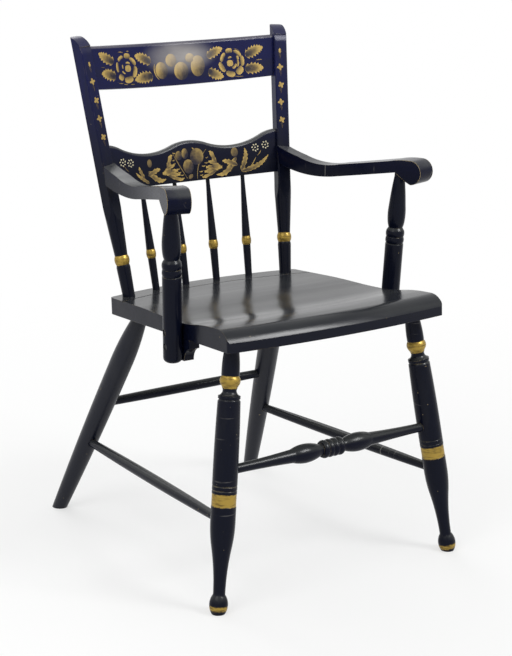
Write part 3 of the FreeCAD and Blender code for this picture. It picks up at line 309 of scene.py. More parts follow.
class Paint(Finish):
    """Worn blue-black paint, in layers that each go over the colour so far."""
    # scale and detail of each layer's noise
    streak_noise, cloud_noise, brush_noise, wave_noise = (34, 4), (7, 2), (420, 2), (16, 3)
    chip_noise, dust_noise, scratch_noise, area_noise = (150, 1), (26, 4), (210, 2), (38, 2)
    edge_noise, bare_noise, ragged_noise, gold_noise = (60, 3), (45, 3), (240, 3), (60, 4)
    # two values between which a layer comes in, some with its levels there
    bluer_height = (0.58, 0.80)
    faded_streaks = (0.45, 0.75)
    chip_specks = (0.785, 0.81)
    facing_up = (0.22, 0.66)
    dust_and_sheen_patches = (0.25, 0.72, 0.4, 1.3)
    scratches = (0.68, 0.72)
    scratched_areas = (0.42, 0.60)
    rubbed_edges = (0.48, 0.62)
    bare_edges = (0.25, 0.50, 0.25, 1.0)
    dull_streaks = (0.4, 0.8)
    rubbed_gold = (0.42, 0.70)
    # metres
    edge_width = 0.0022
    wear_feather = 0.006
    grain_depth = 0.00012
    # roughness that clouds and streaks add, and the gold's own
    cloud_haze, streak_haze, gold_roughness = 0.12, 0.05, 0.36
    gold_metallic = 0.42

    def __init__(self, name, settings, grain):
        super().__init__(name)
        self.settings = settings
        self.grain = grain
        self.streaks = self.noise(*self.streak_noise, grain, 0.62)
        self.upper = self.ease(self.upward(self.place), *self.bluer_height)
        self.colour = self.mix(self.upper, settings.low_colour, settings.high_colour)
        self.lay(self.ease(self.streaks, *self.faded_streaks),
                 self.mix(0.5, self.colour, settings.faded))
        self.edge = self.edge_mask(self.edge_width)
        rubbed = self.ease(self.noise(*self.edge_noise), *self.rubbed_edges)
        self.rubbed = self.math("MULTIPLY", self.edge, rubbed)

    def lay(self, amount, colour):
        """Lays a colour over the paint."""
        self.colour = self.mix(amount, self.colour, colour)

    def chip(self, wear):
        """Small chips that show the wood."""
        specks = self.noise(*self.chip_noise, roughness=0.35)
        chips = self.math("MULTIPLY", self.ease(specks, *self.chip_specks), wear)
        self.lay(chips, self.settings.worn)

    def grey(self, dust):
        """Greys the sides that face up, partly as a dusty film and partly as a painted sheen of
        the light from above.
        """
        upwards = self.ease(self.upward(self.facing()), *self.facing_up)
        sheen_and_dust_amount = self.math("MULTIPLY", upwards, dust)
        patches = self.ease(self.noise(*self.dust_noise, self.grain), *self.dust_and_sheen_patches)
        self.lay(self.math("MULTIPLY", sheen_and_dust_amount, patches, clamp=True),
                 self.mix(self.upper, self.settings.dust, self.settings.high_dust_and_sheen))

    def scuff(self, strength):
        """Patches of fine scratches across the grain."""
        crossing = [1.15 - 1.1 * stretch for stretch in self.grain]
        scratches = self.ease(self.noise(*self.scratch_noise, crossing), *self.scratches)
        areas = self.ease(self.noise(*self.area_noise), *self.scratched_areas)
        strokes = self.math("MULTIPLY", scratches, areas)
        self.lay(self.math("MULTIPLY", strokes, strength), self.settings.scuff)

    def rub(self, wear, worn_from):
        """Wears the edges here and there, and past a place all along them."""
        amount = self.math("MULTIPLY", self.rubbed, wear, clamp=True)
        if worn_from is not None:
            start = self.ease(self.kept("along"), worn_from - self.wear_feather,
                              worn_from + self.wear_feather)
            bare = self.math("MULTIPLY", self.edge, start)
            patches = self.ease(self.noise(*self.bare_noise), *self.bare_edges)
            amount = self.math("MAXIMUM", amount, self.math("MULTIPLY", bare, patches))
        self.lay(amount, self.settings.worn)

    def gild(self, bands):
        """Gold bands with ragged ends, rubbed in places. Gives back where they are."""
        metal = 0.0
        for low, high, feather in bands:
            ragged = self.math("MULTIPLY_ADD", self.noise(*self.ragged_noise), feather * 3,
                               self.kept("along"))
            middle = feather * 1.5
            mask = self.band(ragged, low + middle, high + middle, feather)
            metal = self.math("MAXIMUM", metal, mask)
        worn = self.ease(self.noise(*self.gold_noise, (1, 1, 5)), *self.rubbed_gold,
                         self.rubbed, 1.0)
        self.lay(metal, self.mix(worn, self.settings.gold, self.settings.old_gold))
        self.feed(Metallic=self.math("MULTIPLY", metal, self.gold_metallic))
        return metal

    def varnish(self, gloss, haze, metal):
        """Cloudy varnish, duller in streaks and on gold."""
        least = self.settings.gloss_roughness + haze - self.cloud_haze / 2
        shine = self.math("MULTIPLY_ADD", self.noise(*self.cloud_noise), self.cloud_haze,
                          least)
        streaks = self.ease(self.streaks, *self.dull_streaks)
        shine = self.math("ADD", shine, self.math("MULTIPLY", streaks, self.streak_haze))
        if metal is not None:
            shine = self.math("MAXIMUM", shine, self.math("MULTIPLY", metal, self.gold_roughness))
        self.feed(Base_Color=self.colour, Roughness=shine, Specular_IOR_Level=gloss)

    def relief(self, wavy):
        """Brush marks and grain on softened edges, and a slow roll of the wood."""
        fine = self.math("MULTIPLY", self.noise(*self.brush_noise), 0.25)
        marks = self.math("ADD", fine, self.streaks)
        normal = self.bump(marks, self.grain_depth, self.soft_edge(self.settings.edge_radius))
        if wavy:
            normal = self.bump(self.noise(*self.wave_noise, self.grain), wavy, normal)
        self.feed(Normal=normal)


def paint_finish(name, settings, grain, wear=0.25, bands=(), worn_from=None, gloss=0.11,
                 haze=0.0, dust=0.3, scuffs=0.0, wavy=0.0, painted_reflection=None):
    """Worn paint for pieces whose grain runs one way. Gold bands lie between two values
    of the points' own "along", and worn_from is the value of it past which edges are bare.
    Haze is how far the varnish is dulled. The next setting is how far the sides that face up are
    greyed, partly as a dusty film and partly as a painted sheen of the light from above; scuffs
    is how strong the scratches are, wavy how deep the wood rolls, and the last setting a pale
    patch of painted reflection."""
    paint = Paint(name, settings, grain)
    paint.chip(wear)
    paint.grey(dust)
    # painted reflection: a pale patch laid over the paint
    if painted_reflection is not None:
        paint.lay(paint.patch(*painted_reflection), settings.painted_reflection)
    if scuffs:
        paint.scuff(scuffs)
    paint.rub(wear, worn_from)
    metal = paint.gild(bands) if bands else None
    paint.varnish(gloss, haze, metal)
    paint.relief(wavy)
    return paint.material


def stencil_finish(name, settings, painted_reflection=None):
    """Bronze powder that fades into the paint by the points' own "shade", and is cream
    where that is over one."""
    speckle, thinning, grain_depth = 0.5, -0.27, 0.00005
    base = Finish(name)
    shade = base.kept("shade")
    cloud = base.noise(140, 4, roughness=0.6)
    powder = base.math("MULTIPLY_ADD", cloud, speckle, base.math("ADD", shade, thinning))
    colour = base.mix(base.ease(powder, 0.05, 0.85), settings.dull, settings.bright)
    colour = base.mix(base.ease(shade, 1.0, CREAM), colour, settings.cream)
    # painted reflection: the pale patch laid over the gold
    if painted_reflection is not None:
        colour = base.mix(base.patch(*painted_reflection), colour, settings.painted_reflection)
    base.feed(Base_Color=colour, Metallic=base.ease(powder, 0.1, 0.9, 0.02, 0.16),
              Roughness=base.ease(cloud, 0.3, 0.7, 0.36, 0.50), Specular_IOR_Level=0.16,
              Normal=base.bump(cloud, grain_depth))
    return base.material


def screw_finish(name, settings):
    """Dark painted steel, rubbed bright on its edges."""
    edge_width, edge_radius, grain_depth = 0.0006, 0.0003, 0.00005
    base = Finish(name)
    cloud = base.noise(500, 3)
    rubbed = base.math("MULTIPLY", base.edge_mask(edge_width), base.ease(cloud, 0.4, 0.6))
    base.feed(Base_Color=base.mix(rubbed, settings.steel, settings.bright_steel),
              Metallic=base.ease(cloud, 0.3, 0.7, 0.55, 0.8),
              Roughness=base.ease(cloud, 0.3, 0.7, 0.34, 0.5),
              Normal=base.bump(cloud, grain_depth, base.soft_edge(edge_radius)))
    return base.material


# Pieces
def mirrored(point, side):
    """A point or direction of the right side moved to a side."""
    return Vector((point.x * side, point.y, point.z))


def piece_from(bm, name, material):
    """Turns a finished bmesh into a piece of the chair."""
    mesh = bpy.data.meshes.new(name)
    bm.to_mesh(mesh)
    bm.free()
    piece = bpy.data.objects.new(name, mesh)
    bpy.context.scene.collection.objects.link(piece)
    mesh.materials.append(material)
    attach(piece, "root")
    return piece


def dressed(node, material, foot=None, axis=None, crease=34):
    """Puts a merged and evenly shaded copy of a node's mesh in the node's place. Its
    points keep how far along an axis they lie, and edges over the crease stay sharp."""
    bm = bmesh.new()
    bm.from_mesh(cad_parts[node].data)
    bmesh.ops.remove_doubles(bm, verts=bm.verts, dist=2e-6)
    for face in bm.faces:
        face.smooth = True
    for edge in bm.edges:
        edge.smooth = edge.is_manifold and edge.calc_face_angle() < math.radians(crease)
    if foot is not None:
        along = bm.verts.layers.float.new("along")
        for vert in bm.verts:
            vert[along] = (vert.co - foot).dot(axis)
    piece = piece_from(bm, f"{node}_dressed", material)
    even = piece.modifiers.new("even_shading", "WEIGHTED_NORMAL")
    even.mode, even.weight, even.keep_sharp = "FACE_AREA_WITH_ANGLE", 80, True
    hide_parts(node)


class ARMCHAIR_OT_seat(bpy.types.Operator):
    """Paints the scooped plank seat"""
    bl_idname = "armchair.seat"
    bl_label = "Seat"

    def execute(self, context):
        paint = context.scene.armchair.paint
        material = paint_finish("seat_paint", paint, GRAIN_ACROSS, wear=0.2, gloss=0.15,
                                haze=-0.01, dust=0.22, wavy=0.0007)
        dressed("seat_plank", material, crease=18)
        return {"FINISHED"}


class ARMCHAIR_OT_legs(bpy.types.Operator):
    """Paints the legs, with a gold bead and a gold band on the front ones"""
    bl_idname = "armchair.legs"
    bl_label = "Legs"

    # lowest and highest place of the foot's gold, and how far its ends feather, in metres
    foot_band = (0.005, 0.012, 0.0016)
    # the same of the band and the bead, with the places as shares of the leg's length
    band_shares = ((0.406, 0.453, 0.0010), (0.846, 0.892, 0.0007))

    def execute(self, context):
        paint = context.scene.armchair.paint
        length = (FRONT_LEG_TOP - FRONT_LEG_FOOT).length
        bands = [(low * length, high * length, feather)
                 for low, high, feather in self.band_shares]
        front = paint_finish("front_leg_paint", paint, GRAIN_UP, wear=0.4,
                             bands=(self.foot_band, *bands), scuffs=0.2)
        rear = paint_finish("rear_leg_paint", paint, GRAIN_UP, wear=0.35, gloss=0.3, haze=0.16)
        for name, side in SIDES.items():
            foot, top = mirrored(FRONT_LEG_FOOT, side), mirrored(FRONT_LEG_TOP, side)
            dressed(f"front_leg_{name}", front, foot, (top - foot).normalized())
            dressed(f"rear_leg_{name}", rear)
        return {"FINISHED"}


class ARMCHAIR_OT_stretchers(bpy.types.Operator):
    """Paints the four stretchers"""
    bl_idname = "armchair.stretchers"
    bl_label = "Stretchers"

    def execute(self, context):
        paint = context.scene.armchair.paint
        across = paint_finish("cross_stretcher_paint", paint, GRAIN_ACROSS, wear=0.3)
        along = paint_finish("side_stretcher_paint", paint, GRAIN_FORWARDS, wear=0.35,
                             scuffs=0.5)
        dressed("front_stretcher", across)
        dressed("rear_stretcher", across)
        for name in SIDES:
            dressed(f"side_stretcher_{name}", along)
        return {"FINISHED"}


class ARMCHAIR_OT_back_posts(bpy.types.Operator):
    """Paints the back posts and gilds their beads"""
    bl_idname = "armchair.back_posts"
    bl_label = "Back posts"

    bead = (0.0540, 0.0700, 0.0005)

    def execute(self, context):
        paint = context.scene.armchair.paint
        material = paint_finish("back_post_paint", paint, GRAIN_UP, bands=(self.bead,))
        for name, side in SIDES.items():
            dressed(f"back_post_{name}", material, mirrored(BACK_POST_FOOT, side),
                    mirrored(BACK_POST_UP, side))
        return {"FINISHED"}


class ARMCHAIR_OT_rails(bpy.types.Operator):
    """Paints the crest rail and the splat"""
    bl_idname = "armchair.rails"
    bl_label = "Rails"

    def execute(self, context):
        paint = context.scene.armchair.paint
        # the crest and the splat get the strongest grey on the sides that face up: a painted
        # highlight along their rounded tops, partly a dusty film; the crest also gets the pale
        # patch of painted reflection
        crest = paint_finish("crest_paint", paint, GRAIN_ACROSS, wear=0.2, dust=1.0,
                             painted_reflection=crest_reflection_patch(0.8))
        dressed("crest_rail", crest)
        splat = paint_finish("splat_paint", paint, GRAIN_ACROSS, wear=0.2, dust=0.8)
        dressed("back_splat", splat)
        return {"FINISHED"}


class ARMCHAIR_OT_spindles(bpy.types.Operator):
    """Paints the spindles and gilds their beads"""
    bl_idname = "armchair.spindles"
    bl_label = "Spindles"

    bead = (0.0545, 0.0695, 0.0005)
    places = (
        ("spindle_1", OUTER_SPINDLE, -1),
        ("spindle_2", INNER_SPINDLE, -1),
        ("spindle_3", INNER_SPINDLE, 1),
        ("spindle_4", OUTER_SPINDLE, 1),
    )

    def execute(self, context):
        paint = context.scene.armchair.paint
        material = paint_finish("spindle_paint", paint, GRAIN_UP, wear=0.2, bands=(self.bead,))
        for name, (foot, axis), side in self.places:
            dressed(name, material, mirrored(foot, side), mirrored(axis, side))
        return {"FINISHED"}


class ARMCHAIR_OT_arms(bpy.types.Operator):
    """Paints the arms, worn to a pale line round their scrolled ends"""
    bl_idname = "armchair.arms"
    bl_label = "Arms"

    def execute(self, context):
        paint = context.scene.armchair.paint
        material = paint_finish("arm_paint", paint, GRAIN_FORWARDS, wear=0.05, worn_from=0.004,
                                gloss=0.07, dust=0.45, scuffs=0.35)
        for name, side in SIDES.items():
            dressed(f"arm_{name}", material, mirrored(ARM_NOSE, side),
                    mirrored(ARM_FORWARDS, side))
        return {"FINISHED"}


class ARMCHAIR_OT_arm_posts(bpy.types.Operator):
    """Paints the arm posts and the blocks behind them"""
    bl_idname = "armchair.arm_posts"
    bl_label = "Arm posts"

    def execute(self, context):
        paint = context.scene.armchair.paint
        material = paint_finish("arm_post_paint", paint, GRAIN_UP, wear=0.3)
        for name in SIDES:
            dressed(f"arm_post_{name}", material)
            dressed(f"arm_post_block_{name}", material)
        return {"FINISHED"}


class ARMCHAIR_OT_screws(bpy.types.Operator):
    """Gives the slotted screws their dark steel"""
    bl_idname = "armchair.screws"
    bl_label = "Screws"

    def execute(self, context):
        material = screw_finish("screw_steel", context.scene.armchair.screws)
        for name in SIDES:
            dressed(f"arm_post_{name}_screws", material)
            dressed(f"block_screws_{name}", material)
        return {"FINISHED"}


# Stencils: flat shapes, laid out in millimetres and then bent onto a rail or post
def rail_spot(foot, centre):
    """Where a flat place lies on the front face of a bent rail."""
    def spot(across, up, lift):
        angle = across / BACK_RADIUS
        radius = BACK_RADIUS - RAIL_FACE - lift
        away = centre + radius * math.cos(angle)
        return (BACK_ORIGIN + Vector((radius * math.sin(angle), 0, 0)) + BACK_AWAY * away
                + BACK_UP * (foot + up))
    return spot


def crest_reflection_patch(level):
    """The pale patch of painted reflection in the upper middle of the crest rail's front.
    Its centre stands off the face, so that the patch doesn't reach the back."""
    height, lift, reach = 0.049, 0.014, (0.088, 0.026, 0.041)
    return rail_spot(CREST_FOOT, CREST_CENTRE)(0.0, height, lift), reach, level


def post_spot(side):
    """Where a flat place lies on the front face of a back post."""
    foot = mirrored(BACK_POST_FOOT, side)
    up, back = mirrored(BACK_POST_UP, side), mirrored(BACK_POST_BACK, side)
    across = back.cross(up)

    def spot(sideways, height, lift):
        return foot + across * sideways + up * height - back * (POST_FACE + lift)
    return spot


class Stencil:
    """Shapes cut from a flat film, each with a shade at its points. Each lies a little
    higher than the one before, so that shapes that overlap never share a face."""
    # share of the film's thickness by which each shape is higher
    rise_share = 0.012
    # columns of a leaf's grid to each tooth of its edge, and rows across the leaf
    tooth_steps, leaf_rows = 4, 8
    # how deep a leaf's teeth are cut, and how far they lean to its tip
    notch_share, lean_share = 0.42, 0.8
    # how far in a blob's rings lie, each from the one outside it
    ring_steps = (0.18, 0.22, 0.25)

    def __init__(self, film):
        self.bm = bmesh.new()
        self.bm.verts.layers.float.new("shade")
        self.film = film
        self.count = 0

    def cut(self, shape, place, shade):
        """Moves the points of a new shape to their places, thickens it and adds it to the
        film."""
        layer = shape.verts.layers.float["shade"]
        for vert in shape.verts:
            vert[layer] = shade(vert.co)
            vert.co = place(vert.co) * MILLIMETRE
        bmesh.ops.remove_doubles(shape, verts=shape.verts, dist=3e-5)
        self.count += 1
        raised = bmesh.ops.extrude_face_region(shape, geom=shape.faces[:])
        top = [item for item in raised["geom"] if isinstance(item, bmesh.types.BMVert)]
        lift = self.film * (2 + self.count * self.rise_share)
        bmesh.ops.translate(shape, verts=top, vec=(0, 0, lift))
        bmesh.ops.recalc_face_normals(shape, faces=shape.faces)
        mesh = bpy.data.meshes.new("cutting")
        shape.to_mesh(mesh)
        shape.free()
        self.bm.from_mesh(mesh)
        bpy.data.meshes.remove(mesh)

    def fresh(self):
        shape = bmesh.new()
        shape.verts.layers.float.new("shade")
        return shape

    def leaf(self, base, tip, width, teeth=6, bend=0.0, dark=1.0, tone=1.0):
        """A saw-edged leaf from its base to its tip, dark along the vein near the base."""
        shape = self.fresh()
        columns = teeth * self.tooth_steps
        bmesh.ops.create_grid(shape, x_segments=columns, y_segments=self.leaf_rows, size=0.5)
        base, tip = Vector((*base, 0)), Vector((*tip, 0))
        run = tip - base
        side = Vector((-run.y, run.x, 0)).normalized()

        def place(co):
            t, s = co.x + 0.5, co.y * 2
            swell = 2 * max(0.0, t) ** 0.35 * max(0.0, 1 - t) ** 0.75
            saw = round(t * columns) % self.tooth_steps / (self.tooth_steps - 1)
            notch = 1 - self.notch_share * (1 - saw) * s ** 4
            lean = self.lean_share * s ** 2 / teeth * math.sin(math.pi * t)
            spread = side * (s * swell * notch * width / 2)
            bow = side * (bend * math.sin(math.pi * t))
            return base + run * min(1.0, t + lean) + spread + bow

        def shade(co):
            t, s = co.x + 0.5, abs(co.y * 2)
            vein = max(0.0, 1 - t * 1.15) ** 0.5 * max(0.0, 1 - s * s * 1.3) ** 0.6
            return tone * (1 - dark * vein)

        self.cut(shape, place, shade)

    def blob(self, centre, size, turn=0.0, glow=None, tone=1.0, bean=0.0, boxy=1.0, fade=0.5):
        """A petal, fruit or bud. It fades away from its glow, is bent by its bean and is
        squarer with a smaller boxy."""
        shape = self.fresh()
        bmesh.ops.create_circle(shape, cap_ends=True, segments=22, radius=1)
        for thickness in self.ring_steps:
            middle = max(shape.faces, key=lambda face: len(face.verts))
            bmesh.ops.inset_region(shape, faces=[middle], thickness=thickness)
        angle = math.radians(turn)
        cos, sin = math.cos(angle), math.sin(angle)

        def place(co):
            radius = max(co.xy.length, 1e-6)
            fuller = radius / sum(abs(c / radius) ** (2 / boxy) for c in co.xy) ** (boxy / 2)
            x = co.x / radius * fuller * size[0] / 2
            y = co.y / radius * fuller * size[1] / 2 + bean * (0.5 - co.x ** 2)
            return Vector((centre[0] + x * cos - y * sin, centre[1] + x * sin + y * cos, 0))

        def shade(co):
            gap = 0 if glow is None else (co.xy - Vector(glow)).length
            return tone * max(0.0, 1 - fade * gap ** 2)

        self.cut(shape, place, shade)

    def stroke(self, start, via, end, width, tone=0.7):
        """A thin curved line that tapers at both ends."""
        shape = self.fresh()
        bmesh.ops.create_grid(shape, x_segments=12, y_segments=1, size=0.5)
        start, via, end = (Vector((*point, 0)) for point in (start, via, end))

        def place(co):
            t = co.x + 0.5
            point = start * (1 - t) ** 2 + via * 2 * t * (1 - t) + end * t ** 2
            run = (via - start) * (1 - t) + (end - via) * t
            side = Vector((-run.y, run.x, 0)).normalized()
            return point + side * (co.y * width * (0.35 + 0.65 * math.sin(math.pi * t)))

        self.cut(shape, place, lambda co: tone)

    def daisy(self, centre, radius, dots=7):
        """A ring of dots round a dot."""
        self.blob(centre, (2.8, 2.4), tone=CREAM)
        for number in range(dots):
            angle = math.tau * (number + 0.3) / dots
            place = (centre[0] + radius * math.cos(angle), centre[1] + radius * math.sin(angle))
            self.blob(place, (3.4, 2.2), math.degrees(angle) + 40, tone=CREAM)

    def floret(self, centre, radius, turn=0.0):
        """Four small petals in a cross."""
        for quarter in range(4):
            angle = math.radians(turn + 90 * quarter)
            place = (centre[0] + radius * 0.5 * math.cos(angle),
                     centre[1] + radius * 0.5 * math.sin(angle))
            self.blob(place, (radius * 1.1, radius * 0.72), turn + 90 * quarter, tone=0.68)

    def finish(self, name, spot, material):
        """Bends the film onto the chair and makes it a piece."""
        for vert in self.bm.verts:
            vert.co = spot(vert.co.x, vert.co.y, vert.co.z - self.film)
        piece_from(self.bm, name, material)


def mirror_shape(entry):
    """A leaf of the other half of a pattern."""
    (bx, by), (tx, ty), width, teeth, bend = entry
    return (-bx, by), (-tx, ty), width, teeth, -bend


class ARMCHAIR_OT_crest_stencil(bpy.types.Operator):
    """Stencils two roses with leaves and a row of fruit on the crest rail"""
    bl_idname = "armchair.crest_stencil"
    bl_label = "Crest stencil"

    # base, tip, width, teeth and bend of each leaf
    leaves = (
        ((-137, 41), (-168.5, 57.5), 19.5, 6, 1),
        ((-135.5, 17), (-166.3, 24), 21, 6, -1),
        ((-58.5, 37.5), (-91.5, 50.5), 20, 6, -1),
        ((-57, 14.5), (-95.6, 9.5), 22, 7, -1),
        ((56, 40), (88.3, 53), 18, 6, 1),
        ((56, 16), (85.5, 3.5), 20, 6, -1),
        ((131.5, 37), (167, 49.5), 21, 7, 1),
        ((128.5, 13.5), (164.5, 13.5), 21.5, 6, 1),
    )
    # centre, size, turn and bend of each petal, from the middle of a rose outwards
    left_rose = (
        ((-108.1, 29.7), (10.5, 9.6), 0, 0),
        ((-107.5, 38.5), (7.5, 3.6), -12, 0.8),
        ((-117.5, 23.5), (7, 2.6), -38, -0.8),
        ((-119, 33), (2.4, 6), 8, 0),
        ((-122.5, 47), (11, 5.4), 34, 1.4),
        ((-108.1, 50.3), (11, 8), -8, 0.6),
        ((-96.9, 41), (14.5, 6.6), -48, 1.6),
        ((-94.4, 23.5), (17, 7.4), 74, -1.8),
        ((-108.1, 11.5), (16, 9.4), 10, -1.2),
        ((-123.8, 15.8), (9.5, 9), -35, 0),
        ((-130, 32.8), (14.5, 4.8), 92, 0.8),
    )
    right_rose = (
        ((100.6, 26), (10.5, 9.4), 0, 0),
        ((108.8, 20.4), (9.5, 4.6), 38, -1.2),
        ((115.6, 25), (10.5, 3.8), 84, -1.0),
        ((116, 34.2), (7, 4), 100, -0.8),
        ((101, 35.6), (6.5, 3), 15, 0.6),
        ((100.6, 47.3), (11.5, 7.4), 4, 0.8),
        ((116.9, 42.2), (15, 5.8), -40, 1.6),
        ((124.4, 28.5), (15.5, 6.8), 90, -1.0),
        ((118.1, 12.5), (14, 10.5), 42, -1.0),
        ((100, 7.9), (15.5, 8.8), -14, -1.0),
        ((84.4, 20.4), (17, 7.6), -62, -1.6),
        ((87.5, 37.2), (14.5, 6.2), 60, 1.4),
    )
    # how much larger the petals are cut than listed, how square, and how their gold fades
    petal_growth, petal_boxy, petal_fade, petal_glow = 1.14, 0.72, 0.28, 0.65
    # centre, size, turn and glow of each fruit
    fruits = (
        ((-38.1, 22.5), (25, 29), 12, (-0.35, 0.25)),
        ((-16.9, 38.5), (22, 22), 0, (-0.3, 0.2)),
        ((21.8, 40.5), (18, 16), 0, (-0.2, 0.3)),
        ((36.3, 26), (28, 36), -8, (-0.3, 0.1)),
        ((2, 19.4), (29, 31), 0, (-0.35, 0.25)),
    )
    # start, bend, end, width and tone of each stroke
    strokes = (
        ((-126, 57.6), (-121, 58), (-116, 56.8), 1.5, 0.5),
        ((-108, 58), (-105.6, 58.6), (-103.5, 58), 1.8, 0.6),
        ((-131, 6.4), (-126, 5.2), (-121.5, 5.8), 1.3, 0.5),
        ((-120, 4.2), (-116, 3), (-112, 3.6), 1.3, 0.5),
        ((-105, 3.2), (-101, 2.4), (-97, 3), 1.3, 0.5),
        ((-166, 34.4), (-162, 33.2), (-158, 34), 1.0, 0.35),
        ((152, 27.4), (157, 28.8), (163, 27.8), 1.4, 0.6),
        ((107, 3.2), (114, 1.6), (124, 1.9), 1.2, 0.5),
        ((111, 51), (119, 50), (123, 41), 0.9, 0.4),
        ((-51.5, 34), (-57, 19), (-45, 7.5), 2.0, 0.75),
    )

    def execute(self, context):
        settings = context.scene.armchair.stencil
        film = Stencil(settings.film)
        for base, tip, width, teeth, bend in self.leaves:
            film.leaf(base, tip, width, teeth, bend)
        for rose in (self.left_rose, self.right_rose):
            middle = Vector(rose[0][0])
            for centre, size, turn, bean in rose:
                outward = (Vector(centre) - middle) @ Matrix.Rotation(math.radians(turn), 2)
                glow = outward.normalized() * self.petal_glow
                fuller = [side * self.petal_growth for side in size]
                film.blob(centre, fuller, turn, glow, bean=bean, boxy=self.petal_boxy,
                          fade=self.petal_fade)
        for centre, size, turn, glow in self.fruits:
            film.blob(centre, size, turn, glow)
        for start, via, end, width, tone in self.strokes:
            film.stroke(start, via, end, width, tone)
        # the gold also gets the pale patch of painted reflection
        film.finish("crest_stencil", rail_spot(CREST_FOOT, CREST_CENTRE),
                    stencil_finish("crest_gold", settings, crest_reflection_patch(0.68)))
        return {"FINISHED"}


class ARMCHAIR_OT_splat_stencil(bpy.types.Operator):
    """Stencils fruit between curling leaves and dotted flowers on the splat"""
    bl_idname = "armchair.splat_stencil"
    bl_label = "Splat stencil"

    # the tables' columns are those of the crest stencil
    # spiky leaves beside the fruit, mirrored for the left half
    acanthus = (
        ((50, 20), (37.6, 48), 9, 3, -3),
        ((54, 25), (35, 30.5), 6, 2, 0),
        ((54, 20), (29, 21), 6.5, 2, 0),
        ((54, 16), (25, 13.5), 6.5, 2, 0),
        ((52, 16), (19, 5.4), 7, 3, 2.4),
        ((43, 19), (61.4, 18.4), 7, 2, 0),
        ((40, 22), (57, 19), 13, 2, 0),
    )
    # curling leaves further out
    curls = (
        ((92, 33), (48, 6.5), 11, 5, 8.2),
        ((93, 19), (63, 29), 10, 4, -1),
        ((98.8, 8.3), (109, 47.5), 10.5, 6, -4.5),
        ((99, 7), (154.4, 31.5), 9.5, 8, -6),
        ((-92, 24.5), (-55, 8.5), 10.5, 5, -6.6),
        ((-92, 17), (-65.5, 26.5), 9.5, 4, 1),
        ((-91, 4.5), (-118, 24.5), 6, 6, 1.5),
        ((-101, 13), (-110, 34), 6.5, 4, 1),
        ((-110, 5), (-154, 30), 8.5, 7, 5),
    )
    fruits = (
        ((-24.3, 45.6), (14, 15.5), 0, (-0.3, 0.3)),
        ((-11.5, 48), (13, 18), 0, (-0.3, 0.3)),
        ((12.4, 41), (27, 29), -14, (0.15, 0.3)),
        ((-6.5, 25.5), (21.5, 24.5), 4, (-0.2, 0.35)),
        ((-3.6, 8), (10, 7), 30, (0, 0)),
        ((88.5, 41.5), (13.6, 16.5), 0, (-0.1, 0.2)),
        ((-87, 37.8), (9.4, 13.5), 0, (-0.1, 0.1)),
    )
    strokes = (
        ((-37, 52), (-26, 29), (-10.5, 5), 1.5, 0.5),
        ((32.5, 52), (10, 30), (9.6, 2.6), 1.5, 0.5),
        ((-35, 51.5), (-33.5, 49), (-31.5, 51), 1.7, 0.8),
        ((-39, 39), (-36.5, 37), (-34, 39.4), 1.8, 0.7),
        ((-38, 32.4), (-35.5, 31), (-32.4, 33.4), 1.8, 0.7),
        ((-31, 24), (-27.6, 21.6), (-24.6, 23.6), 1.8, 0.7),
        ((-29, 18), (-26.4, 15.4), (-22.6, 17.4), 1.8, 0.7),
        ((-24, 12.5), (-21, 10.6), (-18, 12.6), 1.8, 0.7),
        ((-22, 7.4), (-19.5, 5.2), (-16.5, 7), 1.8, 0.7),
        ((35, 38.5), (32.5, 36), (29.8, 37.4), 1.8, 0.55),
        ((33.5, 29.4), (30.6, 27), (27, 29.4), 1.9, 0.6),
        ((28.5, 24.6), (24.6, 22), (21, 24), 1.9, 0.6),
        ((22, 15.6), (18.6, 13.2), (15, 15), 1.9, 0.7),
        ((21.6, 9.4), (18.6, 7), (15.4, 8.6), 1.9, 0.7),
        ((4.4, 57), (6, 55.4), (7.4, 54), 2.4, 0.7),
        ((116, 13), (124, 19), (129.5, 29), 1.3, 0.75),
        ((133, 32), (138, 35), (141, 40.5), 1.3, 0.6),
        ((-133, 28), (-138, 31), (-142, 38), 1.0, 0.45),
    )
    daisies = ((130, 45.8), (150, 48.9), (-127.5, 41.5), (-144.3, 43.9))
    daisy_radius = 5.6
    # strength of the gold, weaker than on the crest
    leaf_tone, fruit_tone = 0.85, 0.75

    def execute(self, context):
        settings = context.scene.armchair.stencil
        film = Stencil(settings.film)
        for base, tip, width, teeth, bend in (*self.acanthus, *map(mirror_shape, self.acanthus)):
            film.leaf(base, tip, width, teeth, bend, dark=0.8, tone=self.leaf_tone)
        for base, tip, width, teeth, bend in self.curls:
            film.leaf(base, tip, width, teeth, bend, dark=0.75, tone=self.leaf_tone)
        for centre, size, turn, glow in self.fruits:
            film.blob(centre, size, turn, glow, tone=self.fruit_tone)
        for start, via, end, width, tone in self.strokes:
            film.stroke(start, via, end, width, tone)
        for centre in self.daisies:
            film.daisy(centre, self.daisy_radius)
        film.finish("splat_stencil", rail_spot(SPLAT_FOOT, SPLAT_CENTRE),
                    stencil_finish("splat_gold", settings))
        return {"FINISHED"}


